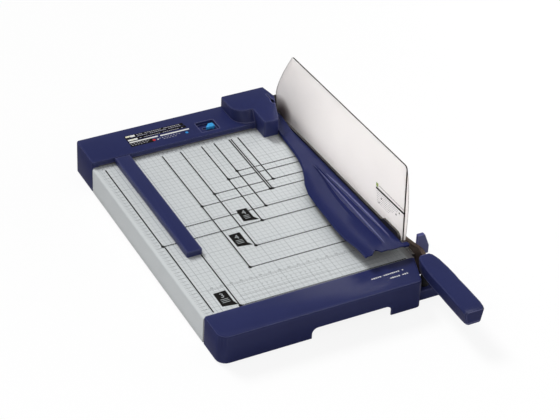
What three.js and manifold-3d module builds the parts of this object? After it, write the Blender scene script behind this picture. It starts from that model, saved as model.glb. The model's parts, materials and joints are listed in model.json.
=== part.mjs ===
// A desk paper cutter with a swinging blade, a sprung paper clamp with a clear guard, and a sliding gauge.
// Lengths are millimetres. Sizes are taken from the corner where the paper stop meets the cutting line:
// x runs along the stop, y runs back along the cutting line, and z = 0 is the top of the table.
import * as THREE from "three";
import { ConvexGeometry } from "three/addons/geometries/ConvexGeometry.js";
import { mergeVertices } from "three/addons/utils/BufferGeometryUtils.js";
import Module from "manifold-3d";

const wasm = await Module();
wasm.setup();

// Clearances
const gap = 0.3;
const overrun = 2;
const weld = 0.4;

// Steps of round stretches
const arcStep = Math.PI / 10;
const edgeSteps = 2;
const curveSteps = 6;
const bellySteps = 16;
const bowSteps = 8;
const lineSteps = 8;
const pinSides = 20;
const screwSides = 12;
const bossSides = 24;

// Table, from the paper stop to the front cap
const table = {
  width: 441,
  span: 520,
  sheet: 2,
  fold: 6,
  skirt: 57,
  frontTongue: 13,
  rearTongue: 38,
};

// Channel under the cutting edge and the two stiffeners
const rail = { width: 30, height: 48, wall: 4, topWall: 3, rearReach: 50, rearRelief: 22 };
const stiffener = { height: 20, width: 34, wall: 1.5, flange: 9, count: 2 };

// Blades
const fixedBlade = { width: 12, height: 30, land: 8, relief: 1.2, rearReach: 6 };
const movingBlade = { thickness: 4.4, top: 3, rearInset: 10, frontInset: 8, endDrop: 14, belly: 26 };
const bladeScrew = { radius: 2.5, head: 5, headDepth: 2.6, sink: 0.8, drop: 16, length: 21, count: 4 };
const leverScrew = { radius: 3, head: 6, headDepth: 3.2, drop: 4, recess: 0.9, count: 4 };
const screwMargin = 66;
const panRimShare = 0.6;
const panFlatShare = 0.7;

// Lever and its pivot
const pivot = { back: 34, drop: 12, radius: 6, eye: 22 };
const lever = {
  thickness: 8,
  above: 9.5,
  height: 28,
  bendLead: 65,
  bendMidLead: 25,
  bendMidRise: 15.5,
  crestPast: 6,
  crestRise: 22,
  tangPast: 36,
  tangTop: 11,
  tangBottom: -4,
  tangLength: 134,
  heelCorner: 5,
  heelDrop: 11,
  heelRun: 48,
  openAngle: 60,
};
const collarRadius = 13;
const discSpring = { radius: 13, thickness: 1.1, cone: 1 };
const pivotHead = { radius: 10, depth: 7 };
const pivotNut = { radius: 8.5, depth: 7 };
const bracket = {
  thickness: 9,
  start: 7,
  end: 58,
  bottom: -48,
  top: 8,
  postWidth: 15,
  postMargin: 9,
  corner: 5,
};
const stopPin = { radius: 4.5, along: 15 };
const bracketScrew = { radius: 3, head: 5.6, headDepth: 3, sink: 0.6, length: 13.5, drop: 38, inset: 12 };

// Handle
const handle = {
  past: 20,
  length: 182,
  top: 20.5,
  bottom: -13,
  halfWidth: 23,
  wall: 3,
  split: -8.5,
  rearDrop: 1,
  frontDrop: 4,
  frontLift: 1,
  edge: 4,
  slotDepth: 9,
};
const handleWidthShares = [0.52, 0.71, 0.87, 0.97, 1, 0.97, 1, 1.01, 1.01, 0.99, 0.95, 0.82];
const handlePlaceShares = [0, 0.03, 0.12, 0.28, 0.42, 0.5, 0.6, 0.78, 0.9, 0.955, 0.985, 1];
const handleFootShare = 0.72;
const handleScrew = { radius: 2.5, head: 4.6, headDepth: 2.5, sink: 0.6, length: 12 };
const handleScrewShares = [0.3, 0.72];
const fingerGuard = {
  thickness: 8,
  frontInset: 21,
  width: 25,
  topWidth: 14,
  top: 38,
  shoulder: 10,
  bottom: -8,
  corner: 1,
  gussetWidth: 17.5,
  footLength: 34,
  footWall: 3,
  footTop: 10,
};

// Front cap, its hand notch and the ledge that stops the lever
const cap = {
  depth: 72,
  rise: 5,
  wall: 3,
  edge: 4,
  rearCorner: 5,
  leftCorner: 20,
  rightCorner: 10,
  rearRight: 1,
  frontRight: 25,
  ribs: 5,
  ribWall: 2.5,
  ribLift: 8,
};
const notch = { width: 167, height: 22.5, corner: 12, fromEdge: 87 };
const ledge = { height: 22, reach: 36, tuck: 44, depth: 43, wall: 3, corner: 6, edge: 1.5 };
const buffer = { x: 1, fromRear: 26, radius: 8, foot: 9, footHeight: 3, edge: 1.5 };

// Rear head with its paper stop, gauge channel and slider window
const head = {
  depth: 80,
  rise: 13,
  lip: 6,
  wall: 3,
  edge: 2.5,
  frontCorner: 4,
  corner: 7,
  right: 79.6,
  ribs: 5,
  slotHeight: 2.6,
  lipWall: 2.5,
  channelTop: 8.5,
  channelLeft: 428,
  channelRight: 88,
};
const sliderWindow = { left: 195, right: 155, front: 6, back: 42, floor: 3, deep: 7, wall: 3 };
const slider = {
  width: 21,
  backWidth: 10,
  depth: 13,
  height: 6,
  edge: 1,
  corner: 1.5,
  stem: 5,
  fromRight: 4.5,
  fromBack: 9,
  travel: 11,
  plate: 1.5,
  plateMargin: 4,
};

// Pivot housing on the head's right end
const housing = {
  rise: 38,
  back: 77,
  left: 120,
  lobeRadius: 26,
  lobeFront: 11,
  blockLeft: 79,
  blockRight: 47,
  blockReach: 45,
  rightFront: 37,
  right: 16,
  rearRight: 23,
  wall: 3,
  edge: 2,
  corner: 2.5,
  backCorner: 4,
  apronFront: -3,
  apronRadius: 34,
  rearDepth: 26,
  neckHeight: 21,
};
const slit = { x: 28, width: 2.5, front: 11, back: 50, wideWidth: 7, wideBack: 27 };

// Paper clamp in its pressed position, and its hinge
const clamp = {
  right: 20.5,
  width: 91.5,
  frontInset: 4,
  wall: 2.3,
  sole: 0.8,
  rightTop: 4,
  leftTop: 4.4,
  crown: 7,
  groove: 5.6,
  beadRise: 4,
  smallBeadRise: 2.6,
  leftBevel: 3,
  tabReach: 10.5,
  tabLength: 12,
  tabCorner: 2.5,
  scoopWidth: 22,
  scoopDepth: 13,
  scoopTop: 21,
  scoopFromRight: 50.5,
  restAngle: 2.9,
};
const clampEdgeShares = [
  [0.138, 0.295],
  [0.29, 0.38],
  [0.36, 0.45],
  [0.43, 0.58],
  [0.5, 0.77],
  [0.57, 0.88],
  [0.72, 0.955],
  [0.85, 1],
  [0.93, 0.93],
  [1, 0.93],
];
const clampStationShares = [
  0.138, 0.16, 0.22, 0.29, 0.35, 0.4, 0.45, 0.5, 0.56, 0.64, 0.72, 0.8, 0.87, 0.93, 0.96, 0.98, 1,
];
const beadStartShares = [0.395, 0.46];
const beadEndShares = [0.94, 0.985];
const largeBeadShares = [
  [0.13, 0.19],
  [0.43, 0.28],
  [0.57, 0.376],
  [0.71, 0.44],
  [1, 0.41],
];
const smallBeadShares = [
  [0.13, 0.08],
  [0.47, 0.226],
  [0.735, 0.204],
  [1, 0.155],
];
const clampHinge = { back: 28, rise: 10, pin: 4, eye: 7.5, left: 46, right: 21 };
const clampNeck = { lap: 9, startTop: 4.2, mid: 8, midTop: 14, bottom: 1.2 };
const clampBracket = { sheet: 1.5, ear: 2.2, front: 12, back: 44, top: 18, corner: 5 };
const clampSpring = { wire: 1.6, pitch: 2.2, turns: 4, radius: 6, bay: 11, stepsPerTurn: 8, sides: 5 };
const clampPad = { width: 12, inset: 1.2, bottom: 0.4, height: 1, margin: 40, ribTop: 3.6 };

// Clear guard and the strip that holds it
const guard = {
  sheet: 2.5,
  bottom: 1.2,
  top: 166,
  frontInset: 24,
  apexBack: -37,
  apexCorner: 5,
  frontCorner: 10,
  rearReach: 30,
  rearShoulder: 50,
  rearTail: 25,
  rearBow: 15,
  rearBowRise: 87,
  flangeFoot: 5,
  flangeBow: 11,
  flangeBowRise: 95,
  flangeTop: 157,
};
const guardRail = {
  thickness: 4.6,
  rear: 22,
  rearTop: 7,
  quarter: 125,
  quarterTop: 8.5,
  stepFoot: 98,
  stepFootTop: 9,
  stepHead: 88,
  stepTop: 15,
  stepEnd: 38,
  frontInset: 29,
  corner: 1.5,
  bottom: 0.8,
};
const guardScrew = { radius: 1.5, head: 3, headDepth: 1.8, rise: 4.2 };
const guardScrewShares = [0.06, 0.36, 0.66, 0.96];

// Paper gauge and its runner
const gauge = {
  right: 361,
  width: 32,
  length: 341,
  height: 12,
  lift: 0.5,
  corner: 3,
  wall: 2.5,
  frontWall: 5,
  relief: 1.6,
};
const gaugeReliefShares = [
  [0.33, 0.6],
  [0.68, 0.9],
];
const runner = {
  sheet: 1.6,
  length: 42,
  lift: 0.4,
  hookTop: 7.4,
  hookWall: 2.4,
  saddleWall: 3.2,
  sideGap: 1,
};

// Feet
const foot = {
  radius: 13,
  height: 4.7,
  edge: 1.2,
  stem: 6,
  stemHeight: 8,
  boss: 12,
  bossHeight: 16,
  inset: 27,
  rightInset: 60,
  ledgeX: 14,
};

// Places worked out from the sizes above
const capRear = -table.span;
const capFront = -table.span - cap.depth;
const bedBottom = -table.skirt;
const railRight = -fixedBlade.width - gap;
const railLeft = railRight - rail.width;
const railTop = -table.sheet - gap;
const railFront = -table.span - table.frontTongue;
const leverLeft = gap + movingBlade.thickness + gap;
const leverRight = leverLeft + lever.thickness;
const leverMiddle = (leverLeft + leverRight) / 2;
const leverBottom = lever.above - lever.height;
const leverCrest = -table.span - lever.crestPast;
const leverBendMid = -table.span + lever.bendMidLead;
const tangStart = -table.span - lever.tangPast;
const handleRear = -table.span - handle.past;
const handleEnd = handleRear - handle.length;
const clampFront = -table.span + clamp.frontInset;
const guardFront = -table.span + guard.frontInset;
const stripRear = -guardRail.rear;
const stripFront = -table.span + guardRail.frontInset;
const bladeRear = -movingBlade.rearInset;
const bladeFront = -table.span + movingBlade.frontInset;
const pivotHeight = -pivot.drop;
const bracketRight = -fixedBlade.width + bracket.thickness;
const guardRight = -clamp.right + gap + guardRail.thickness + gap + guard.sheet;
const guardLeft = guardRight - guard.sheet;
const railStripLeft = -clamp.right + gap;
const gaugeRear = -head.lip - gap;
const sliderRight = -sliderWindow.right - slider.fromRight;
const sliderMiddle = sliderWindow.back - slider.fromBack - slider.depth / 2;
const sliderCentre = sliderRight - slider.width / 2;
const leverHeel = handleRear + 2 * gap;

// Materials
const navyPlastic = new THREE.MeshStandardMaterial({ color: 0x2b2f5e, roughness: 0.5, metalness: 0 });
const paintedSteel = new THREE.MeshStandardMaterial({ color: 0xd0d8da, roughness: 0.45, metalness: 0.1 });
const greySteel = new THREE.MeshStandardMaterial({ color: 0x8b8d90, roughness: 0.5, metalness: 0.8 });
const bladeSteel = new THREE.MeshStandardMaterial({ color: 0xb8babd, roughness: 0.25, metalness: 1 });
const leverSteel = new THREE.MeshStandardMaterial({ color: 0x6b625c, roughness: 0.4, metalness: 0.9 });
const screwSteel = new THREE.MeshStandardMaterial({ color: 0xc9cbce, roughness: 0.25, metalness: 1 });
const darkSteel = new THREE.MeshStandardMaterial({ color: 0x2a2422, roughness: 0.5, metalness: 0.6 });
const clearPlastic = new THREE.MeshStandardMaterial({
  color: 0xece6e2,
  roughness: 0.15,
  metalness: 0,
  transparent: true,
  opacity: 0.5,
});
const bluePlastic = new THREE.MeshStandardMaterial({ color: 0x3fa3ea, roughness: 0.4, metalness: 0 });
const rubber = new THREE.MeshStandardMaterial({ color: 0x1c1c1e, roughness: 0.9, metalness: 0 });

// A closed geometry as a solid that can be joined and cut
function solid(geometry) {
  const plain = geometry.clone();
  plain.deleteAttribute("normal");
  plain.deleteAttribute("uv");
  const merged = mergeVertices(plain, 1e-4);
  const vertProperties = merged.attributes.position.array;
  const triVerts = new Uint32Array(merged.index.array);
  return new wasm.Manifold(new wasm.Mesh({ numProp: 3, vertProperties, triVerts }));
}

// A solid as a geometry that a mesh can show
function geometryOf(body) {
  const { vertProperties, triVerts } = body.getMesh();
  const geometry = new THREE.BufferGeometry();
  geometry.setAttribute("position", new THREE.BufferAttribute(new Float32Array(vertProperties), 3));
  geometry.setIndex(new THREE.BufferAttribute(new Uint32Array(triVerts), 1));
  geometry.computeVertexNormals();
  return geometry;
}

function piece(name, body, material) {
  const mesh = new THREE.Mesh(geometryOf(body), material);
  mesh.name = name;
  return mesh;
}

// Points of a closed outline through corners [u, v, radius], with an arc at each rounded corner
function outline(corners) {
  return corners.flatMap(([u, v, radius = 0], index) => {
    const here = new THREE.Vector2(u, v);
    if (radius <= 0) return [here];
    const before = corners.at(index - 1);
    const after = corners[(index + 1) % corners.length];
    const back = new THREE.Vector2(before[0], before[1]).sub(here).normalize();
    const ahead = new THREE.Vector2(after[0], after[1]).sub(here).normalize();
    const half = Math.acos(THREE.MathUtils.clamp(back.dot(ahead), -1, 1)) / 2;
    const middle = back.clone().add(ahead).normalize();
    const centre = here.clone().addScaledVector(middle, radius / Math.sin(half));
    const start = here.clone().addScaledVector(back, radius / Math.tan(half)).sub(centre);
    const end = here.clone().addScaledVector(ahead, radius / Math.tan(half)).sub(centre);
    const sweep = Math.atan2(start.cross(end), start.dot(end));
    const steps = Math.max(2, Math.ceil(Math.abs(sweep) / arcStep));
    return Array.from({ length: steps + 1 }, (_, step) =>
      start.clone().rotateAround(new THREE.Vector2(), (sweep * step) / steps).add(centre),
    );
  });
}

// The corners of an anticlockwise outline moved inwards by a wall
function inset(corners, wall) {
  return corners.map(([u, v, radius = 0], index) => {
    const before = corners.at(index - 1);
    const after = corners[(index + 1) % corners.length];
    const into = new THREE.Vector2(u - before[0], v - before[1]).normalize();
    const out = new THREE.Vector2(after[0] - u, after[1] - v).normalize();
    const first = new THREE.Vector2(-into.y, into.x);
    const second = new THREE.Vector2(-out.y, out.x);
    const move = first.clone().add(second).multiplyScalar(wall / (1 + first.dot(second)));
    const turned = into.cross(out) > 0 ? Math.max(radius - wall, 0) : radius + wall;
    return [u + move.x, v + move.y, radius > 0 ? turned : 0];
  });
}

// Prisms: upwards from the floor plane, towards +x from the side plane, towards -y from the front plane
const alongX = new THREE.Matrix4().makeBasis(
  new THREE.Vector3(0, 1, 0),
  new THREE.Vector3(0, 0, 1),
  new THREE.Vector3(1, 0, 0),
);
const alongFront = new THREE.Matrix4().makeBasis(
  new THREE.Vector3(1, 0, 0),
  new THREE.Vector3(0, 0, 1),
  new THREE.Vector3(0, -1, 0),
);

function prism(points, depth) {
  return new THREE.ExtrudeGeometry(new THREE.Shape(points), { depth, bevelEnabled: false });
}

function prismZ(corners, bottom, top) {
  return solid(prism(outline(corners), top - bottom).translate(0, 0, bottom));
}

function prismX(corners, left, right) {
  return solid(prism(outline(corners), right - left).applyMatrix4(alongX).translate(left, 0, 0));
}

function prismY(corners, front, back) {
  return solid(prism(outline(corners), back - front).applyMatrix4(alongFront).translate(0, back, 0));
}

// A prism with a rounded top edge and a flat bottom
function roundedPrismZ(corners, bottom, top, edge) {
  const options = {
    depth: top - bottom - edge,
    bevelThickness: edge,
    bevelSize: edge,
    bevelOffset: -edge,
    bevelSegments: edgeSteps,
  };
  const points = outline(corners);
  const body = solid(new THREE.ExtrudeGeometry(new THREE.Shape(points), options).translate(0, 0, bottom));
  const box = new THREE.Box2().setFromPoints(points);
  const below = [box.min.x - edge, box.max.x + edge, box.min.y - edge, box.max.y + edge];
  return body.subtract(block(...below, bottom - edge - overrun, bottom));
}

function block(left, right, front, back, bottom, top) {
  const geometry = new THREE.BoxGeometry(right - left, back - front, top - bottom);
  return solid(geometry.translate((left + right) / 2, (front + back) / 2, (bottom + top) / 2));
}

function rodX(radius, left, right, y, z, sides = pinSides) {
  const geometry = new THREE.CylinderGeometry(radius, radius, right - left, sides).rotateZ(-Math.PI / 2);
  return solid(geometry.translate((left + right) / 2, y, z));
}

function rodZ(radius, x, y, bottom, top, sides = pinSides) {
  const geometry = new THREE.CylinderGeometry(radius, radius, top - bottom, sides).rotateX(Math.PI / 2);
  return solid(geometry.translate(x, y, (bottom + top) / 2));
}

// A turned piece whose profile points are [radius, height], standing on the origin along +z
function turned(profile, sides) {
  const points = profile.map(([radius, height]) => new THREE.Vector2(radius, height));
  return new THREE.LatheGeometry([...points, points[0]], sides).rotateX(Math.PI / 2);
}

// A countersunk screw with its head's face at the origin and its shank along -z
function countersunk({ radius, head: wide, headDepth }, length) {
  return turned(
    [
      [0, -length],
      [radius, -length],
      [radius, -headDepth],
      [wide, 0],
      [0, 0],
    ],
    screwSides,
  );
}

// The space that such a screw needs, open at the head
function sinkHole({ radius, head: wide, headDepth }, length, sink) {
  return turned(
    [
      [0, -length - overrun],
      [radius + gap, -length - overrun],
      [radius + gap, -headDepth],
      [wide + gap, gap],
      [wide + gap, sink + overrun],
      [0, sink + overrun],
    ],
    screwSides,
  );
}

// A screw with a low round head that stands on the origin, its shank along -z
function panScrew({ radius, head: wide, headDepth }, length) {
  return turned(
    [
      [0, -length],
      [radius, -length],
      [radius, gap],
      [wide, gap],
      [wide, headDepth * panRimShare],
      [wide * panFlatShare, headDepth],
      [0, headDepth],
    ],
    screwSides,
  );
}

// A solid with its axis laid along +x or -x and moved to a place
function laidX(geometry, side, x, y, z) {
  return solid(geometry.clone().rotateY((side * Math.PI) / 2).translate(x, y, z));
}

// A closed skin over rings of points that have equal counts
function loft(rings) {
  const count = rings[0].length;
  const positions = rings.flat().flatMap((point) => [point.x, point.y, point.z]);
  const indices = [];
  for (let ring = 0; ring + 1 < rings.length; ring++) {
    for (let side = 0; side < count; side++) {
      const a = ring * count + side;
      const b = ring * count + ((side + 1) % count);
      indices.push(a, b, b + count, a, b + count, a + count);
    }
  }
  const flat = rings[0].map((point) => new THREE.Vector2(point.x, point.z));
  const last = (rings.length - 1) * count;
  const endFlat = rings.at(-1).map((point) => new THREE.Vector2(point.x, point.z));
  THREE.ShapeUtils.triangulateShape(flat, []).forEach(([a, b, c]) => indices.push(c, b, a));
  THREE.ShapeUtils.triangulateShape(endFlat, []).forEach(([a, b, c]) =>
    indices.push(last + a, last + b, last + c),
  );
  const geometry = new THREE.BufferGeometry();
  geometry.setAttribute("position", new THREE.Float32BufferAttribute(positions, 3));
  geometry.setIndex(indices);
  return solid(geometry);
}

// Evenly spread places between two ends
function spread(start, end, count) {
  return Array.from({ length: count }, (_, index) => start + ((end - start) * index) / (count - 1));
}

// Table: folded sheet with its left skirt, notched where the caps cover the fold
function tableSheet() {
  const left = -table.width;
  const profile = [
    [left, -table.skirt],
    [left + table.sheet, -table.skirt],
    [left + table.sheet, -table.sheet, table.fold - table.sheet],
    [railRight, -table.sheet],
    [railRight, 0],
    [left, 0, table.fold],
  ];
  const front = -table.span - table.frontTongue;
  const notchRight = left + cap.wall + gap;
  const sheet = prismY(profile, front, table.rearTongue);
  const frontCut = block(
    left - overrun,
    notchRight,
    front - overrun,
    capRear + gap,
    bedBottom - overrun,
    overrun,
  );
  const rearCut = block(
    left - overrun,
    notchRight,
    -head.lip - gap,
    table.rearTongue + overrun,
    bedBottom - overrun,
    overrun,
  );
  return sheet.subtract(frontCut).subtract(rearCut);
}

// Channel under the cutting edge, open to the left
function edgeRail() {
  const bottom = railTop - rail.height;
  const profile = [
    [railLeft, bottom],
    [railRight, bottom],
    [railRight, railTop],
    [railLeft, railTop],
    [railLeft, railTop - rail.topWall],
    [railRight - rail.wall, railTop - rail.topWall],
    [railRight - rail.wall, bottom + rail.wall],
    [railLeft, bottom + rail.wall],
  ];
  let body = prismY(profile, railFront, rail.rearReach);
  bladeScrewPlaces().forEach((y) => {
    body = body.subtract(screwRod(bladeScrew.radius, y, -bladeScrew.drop));
  });
  bracketScrewPlaces().forEach((y) => {
    body = body.subtract(screwRod(bracketScrew.radius, y, -bracketScrew.drop));
  });
  const relief = block(
    railLeft - overrun,
    railRight - rail.wall,
    rail.rearRelief,
    rail.rearReach + overrun,
    railTop - rail.topWall - overrun,
    railTop + overrun,
  );
  return body.subtract(screwRod(pivot.radius, pivot.back, pivotHeight)).subtract(relief);
}

function screwRod(radius, y, z) {
  return rodX(radius + gap, railRight - rail.wall - overrun, railRight + overrun, y, z);
}

function bladeScrewPlaces() {
  return spread(-screwMargin, -table.span + screwMargin, bladeScrew.count);
}

function bracketScrewPlaces() {
  return [bracket.start + bracketScrew.inset, bracket.end - bracketScrew.inset];
}

// Hat section that stiffens the table from below
function stiffenerBar(y) {
  const half = stiffener.width / 2;
  const bottom = railTop - stiffener.height;
  const web = half - stiffener.flange;
  const profile = [
    [y - half, railTop - stiffener.wall],
    [y - web, railTop - stiffener.wall],
    [y - web, bottom],
    [y + web, bottom],
    [y + web, railTop - stiffener.wall],
    [y + half, railTop - stiffener.wall],
    [y + half, railTop],
    [y + web - stiffener.wall, railTop],
    [y + web - stiffener.wall, bottom + stiffener.wall],
    [y - web + stiffener.wall, bottom + stiffener.wall],
    [y - web + stiffener.wall, railTop],
    [y - half, railTop],
  ];
  return prismX(profile, -table.width + table.fold, railLeft - gap);
}

// Bed blade with a ground land and relieved face below it
function fixedBladeBar() {
  const profile = [
    [-fixedBlade.width, -fixedBlade.height],
    [-fixedBlade.relief, -fixedBlade.height],
    [-fixedBlade.relief, -fixedBlade.land - fixedBlade.relief],
    [0, -fixedBlade.land],
    [0, 0],
    [-fixedBlade.width, 0],
  ];
  let body = prismY(profile, capRear + gap, fixedBlade.rearReach);
  const space = sinkHole(bladeScrew, bladeScrew.length, bladeScrew.sink);
  bladeScrewPlaces().forEach((y) => {
    body = body.subtract(laidX(space, 1, -fixedBlade.relief - bladeScrew.sink, y, -bladeScrew.drop));
  });
  return body;
}

// Lever: flat bar with a round eye at the pivot and a cranked tang for the handle
function leverOutline() {
  const eyeReach = (rise) => Math.sqrt(pivot.eye ** 2 - (rise - pivotHeight) ** 2);
  const bendStart = -table.span + lever.bendLead;
  const bendHalf = (bendStart + leverBendMid) / 2;
  const bendRise = (3 * lever.bendMidRise - lever.crestRise) / 2;
  const heelBottom = leverBottom - lever.heelDrop;
  const heelMid = leverHeel + (lever.heelCorner + lever.heelRun) / 2;
  const shape = new THREE.Shape();
  shape.moveTo(pivot.back - eyeReach(lever.above), lever.above);
  shape.lineTo(bendStart, lever.above);
  shape.bezierCurveTo(bendHalf, lever.above, bendHalf, bendRise, leverBendMid, lever.bendMidRise);
  shape.quadraticCurveTo(leverCrest + lever.thickness, lever.crestRise, leverCrest, lever.crestRise);
  shape.bezierCurveTo(handleRear, lever.crestRise, handleRear, lever.tangTop, tangStart, lever.tangTop);
  shape.lineTo(tangStart - lever.tangLength, lever.tangTop);
  shape.lineTo(tangStart - lever.tangLength, lever.tangBottom);
  shape.lineTo(leverHeel, lever.tangBottom);
  shape.lineTo(leverHeel, heelBottom + lever.heelCorner);
  shape.quadraticCurveTo(leverHeel, heelBottom, leverHeel + lever.heelCorner, heelBottom);
  shape.bezierCurveTo(heelMid, heelBottom, heelMid, leverBottom, leverHeel + lever.heelRun, leverBottom);
  shape.lineTo(pivot.back - eyeReach(leverBottom), leverBottom);
  return shape.getPoints(curveSteps);
}

function leverBar() {
  const bar = solid(
    prism(leverOutline(), lever.thickness).applyMatrix4(alongX).translate(leverLeft, 0, 0),
  );
  const eye = rodX(pivot.eye, leverLeft, leverRight, pivot.back, pivotHeight, bossSides);
  let body = bar.add(eye).subtract(
    rodX(pivot.radius + gap, leverLeft - overrun, leverRight + overrun, pivot.back, pivotHeight),
  );
  leverScrewPlaces().forEach((y) => {
    const hole = rodX(
      leverScrew.radius + gap,
      leverLeft - overrun,
      leverRight + overrun,
      y,
      -leverScrew.drop,
      screwSides,
    );
    body = body.subtract(hole);
  });
  handleScrewPlaces().forEach((y) => {
    const hole = rodZ(
      handleScrew.radius + gap,
      leverMiddle,
      y,
      lever.tangBottom - overrun,
      lever.tangTop + overrun,
      screwSides,
    );
    body = body.subtract(hole);
  });
  return body;
}

function leverScrewPlaces() {
  return spread(bladeRear - screwMargin / 2, bladeFront + screwMargin / 2, leverScrew.count);
}

function handleScrewPlaces() {
  return handleScrewShares.map((share) => handleRear - handle.length * share);
}

// Swinging blade: straight back edge and a bowed cutting edge, ground thin along it
function movingBladeBar() {
  const pull = 2 * movingBlade.belly - movingBlade.endDrop;
  const shape = new THREE.Shape();
  shape.moveTo(bladeRear, movingBlade.top);
  shape.lineTo(bladeFront, movingBlade.top);
  shape.lineTo(bladeFront, -movingBlade.endDrop);
  shape.quadraticCurveTo((bladeRear + bladeFront) / 2, -pull, bladeRear, -movingBlade.endDrop);
  const bar = prism(shape.getPoints(bellySteps), movingBlade.thickness);
  let body = solid(bar.applyMatrix4(alongX).translate(gap, 0, 0));
  leverScrewPlaces().forEach((y) => {
    const hole = rodX(
      leverScrew.radius + gap,
      -overrun,
      leverLeft + overrun,
      y,
      -leverScrew.drop,
      screwSides,
    );
    body = body.subtract(hole);
  });
  return body;
}

// Steel bracket that carries the pivot bolt, with a post for the stop pin
function stopPlace() {
  const open = THREE.MathUtils.degToRad(lever.openAngle);
  const off = lever.above + pivot.drop + stopPin.radius + gap;
  const along = new THREE.Vector2(-Math.cos(open), Math.sin(open));
  const away = new THREE.Vector2(Math.sin(open), Math.cos(open));
  return new THREE.Vector2(pivot.back, pivotHeight)
    .addScaledVector(along, stopPin.along)
    .addScaledVector(away, off);
}

function pivotBracket() {
  const stop = stopPlace();
  const postTop = stop.y + stopPin.radius + bracket.postMargin;
  const postRear = Math.min(stop.x + bracket.postWidth / 2, bracket.end);
  const postFront = postRear - bracket.postWidth;
  const corners = [
    [bracket.start, bracket.bottom, bracket.corner],
    [bracket.end, bracket.bottom, bracket.corner],
    [bracket.end, bracket.top],
    [postRear, bracket.top],
    [postRear, postTop, bracket.corner],
    [postFront, postTop, bracket.corner],
    [postFront, bracket.top],
    [bracket.start, bracket.top, bracket.corner],
  ];
  const left = -fixedBlade.width;
  let body = prismX(corners, left, bracketRight);
  body = body.subtract(
    rodX(pivot.radius + gap, left - overrun, bracketRight + overrun, pivot.back, pivotHeight),
  );
  body = body.subtract(rodX(stopPin.radius + gap, left - overrun, bracketRight + overrun, stop.x, stop.y));
  const space = sinkHole(bracketScrew, bracketScrew.length, bracketScrew.sink);
  bracketScrewPlaces().forEach((y) => {
    body = body.subtract(laidX(space, 1, bracketRight - bracketScrew.sink, y, -bracketScrew.drop));
  });
  return body;
}

function pivotBolt() {
  const left = railRight - rail.wall - gap - pivotNut.depth - gap;
  const headLeft = leverRight + gap + discSpring.thickness + discSpring.cone + gap;
  const shank = rodX(pivot.radius, left, headLeft + weld, pivot.back, pivotHeight);
  return shank.add(rodX(pivotHead.radius, headLeft, headLeft + pivotHead.depth, pivot.back, pivotHeight, 6));
}

function pivotNutBody() {
  const right = railRight - rail.wall - gap;
  const nut = rodX(pivotNut.radius, right - pivotNut.depth, right, pivot.back, pivotHeight, 6);
  const bore = rodX(
    pivot.radius + gap,
    right - pivotNut.depth - overrun,
    right + overrun,
    pivot.back,
    pivotHeight,
  );
  return nut.subtract(bore);
}

function pivotCollar() {
  const left = bracketRight + gap;
  const right = leverLeft - gap;
  const collar = rodX(collarRadius, left, right, pivot.back, pivotHeight, bossSides);
  return collar.subtract(rodX(pivot.radius + gap, left - overrun, right + overrun, pivot.back, pivotHeight));
}

// Coned washer that keeps the lever tight on its bolt
function coneWasher() {
  const inner = pivot.radius + gap;
  const profile = [
    [inner, discSpring.cone],
    [discSpring.radius, 0],
    [discSpring.radius, discSpring.thickness],
    [inner, discSpring.cone + discSpring.thickness],
  ];
  return laidX(turned(profile, bossSides), 1, leverRight + gap, pivot.back, pivotHeight);
}

// Handle: rounded sections lofted along the lever, split into a grip and a bottom cover
function handleRing(y, halfWidth, bottom, top, shrink) {
  const half = halfWidth - shrink;
  const footHalf = halfWidth * handleFootShare - shrink;
  const corners = [
    [-footHalf, bottom + shrink, handle.edge],
    [footHalf, bottom + shrink, handle.edge],
    [half, top - shrink, handle.edge],
    [-half, top - shrink, handle.edge],
  ];
  return outline(corners).map((point) => new THREE.Vector3(leverMiddle + point.x, y, point.y));
}

function handleBody(shrink) {
  const start = handleRear - shrink;
  const end = handleEnd + shrink;
  const [, , rearShare] = handlePlaceShares;
  const frontShare = handlePlaceShares.at(-4);
  const rings = handlePlaceShares.map((share, index) => {
    const rearward = Math.max(0, 1 - share / rearShare);
    const forward = Math.max(0, (share - frontShare) / (1 - frontShare)) ** 2;
    const top = handle.top - handle.rearDrop * rearward - handle.frontDrop * forward;
    const bottom = handle.bottom + handle.frontLift * forward;
    const half = handle.halfWidth * handleWidthShares[index];
    return handleRing(start + (end - start) * share, half, bottom, top, shrink);
  });
  return loft(rings);
}

// Everything around the handle between two heights
function handleZone(bottom, top) {
  const reach = handle.halfWidth + overrun;
  const left = leverMiddle - reach;
  return block(left, left + 2 * reach, handleEnd - overrun, handleRear + overrun, bottom, top);
}

function handleGrip() {
  const upper = handleBody(0).subtract(handleZone(handle.bottom - overrun, handle.split));
  const slot = block(
    leverLeft - gap,
    leverRight + gap,
    handleRear - handle.slotDepth,
    handleRear + overrun,
    handle.split - overrun,
    (lever.crestRise + lever.tangTop) / 2 + 2 * gap,
  );
  return upper.subtract(handleBody(handle.wall)).subtract(slot);
}

function handleBase() {
  const cover = handleBody(0).subtract(handleZone(handle.split - gap, handle.top + overrun));
  const bossTop = lever.tangBottom - gap;
  let body = cover;
  const space = sinkHole(handleScrew, handleScrew.length, handleScrew.sink).rotateX(Math.PI);
  handleScrewPlaces().forEach((y) => {
    const boss = rodZ(handleScrew.head + handle.wall, leverMiddle, y, handle.bottom + weld, bossTop);
    const hole = solid(space.clone().translate(leverMiddle, y, handle.bottom + handleScrew.sink));
    body = body.add(boss).subtract(hole);
  });
  return body;
}

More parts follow.
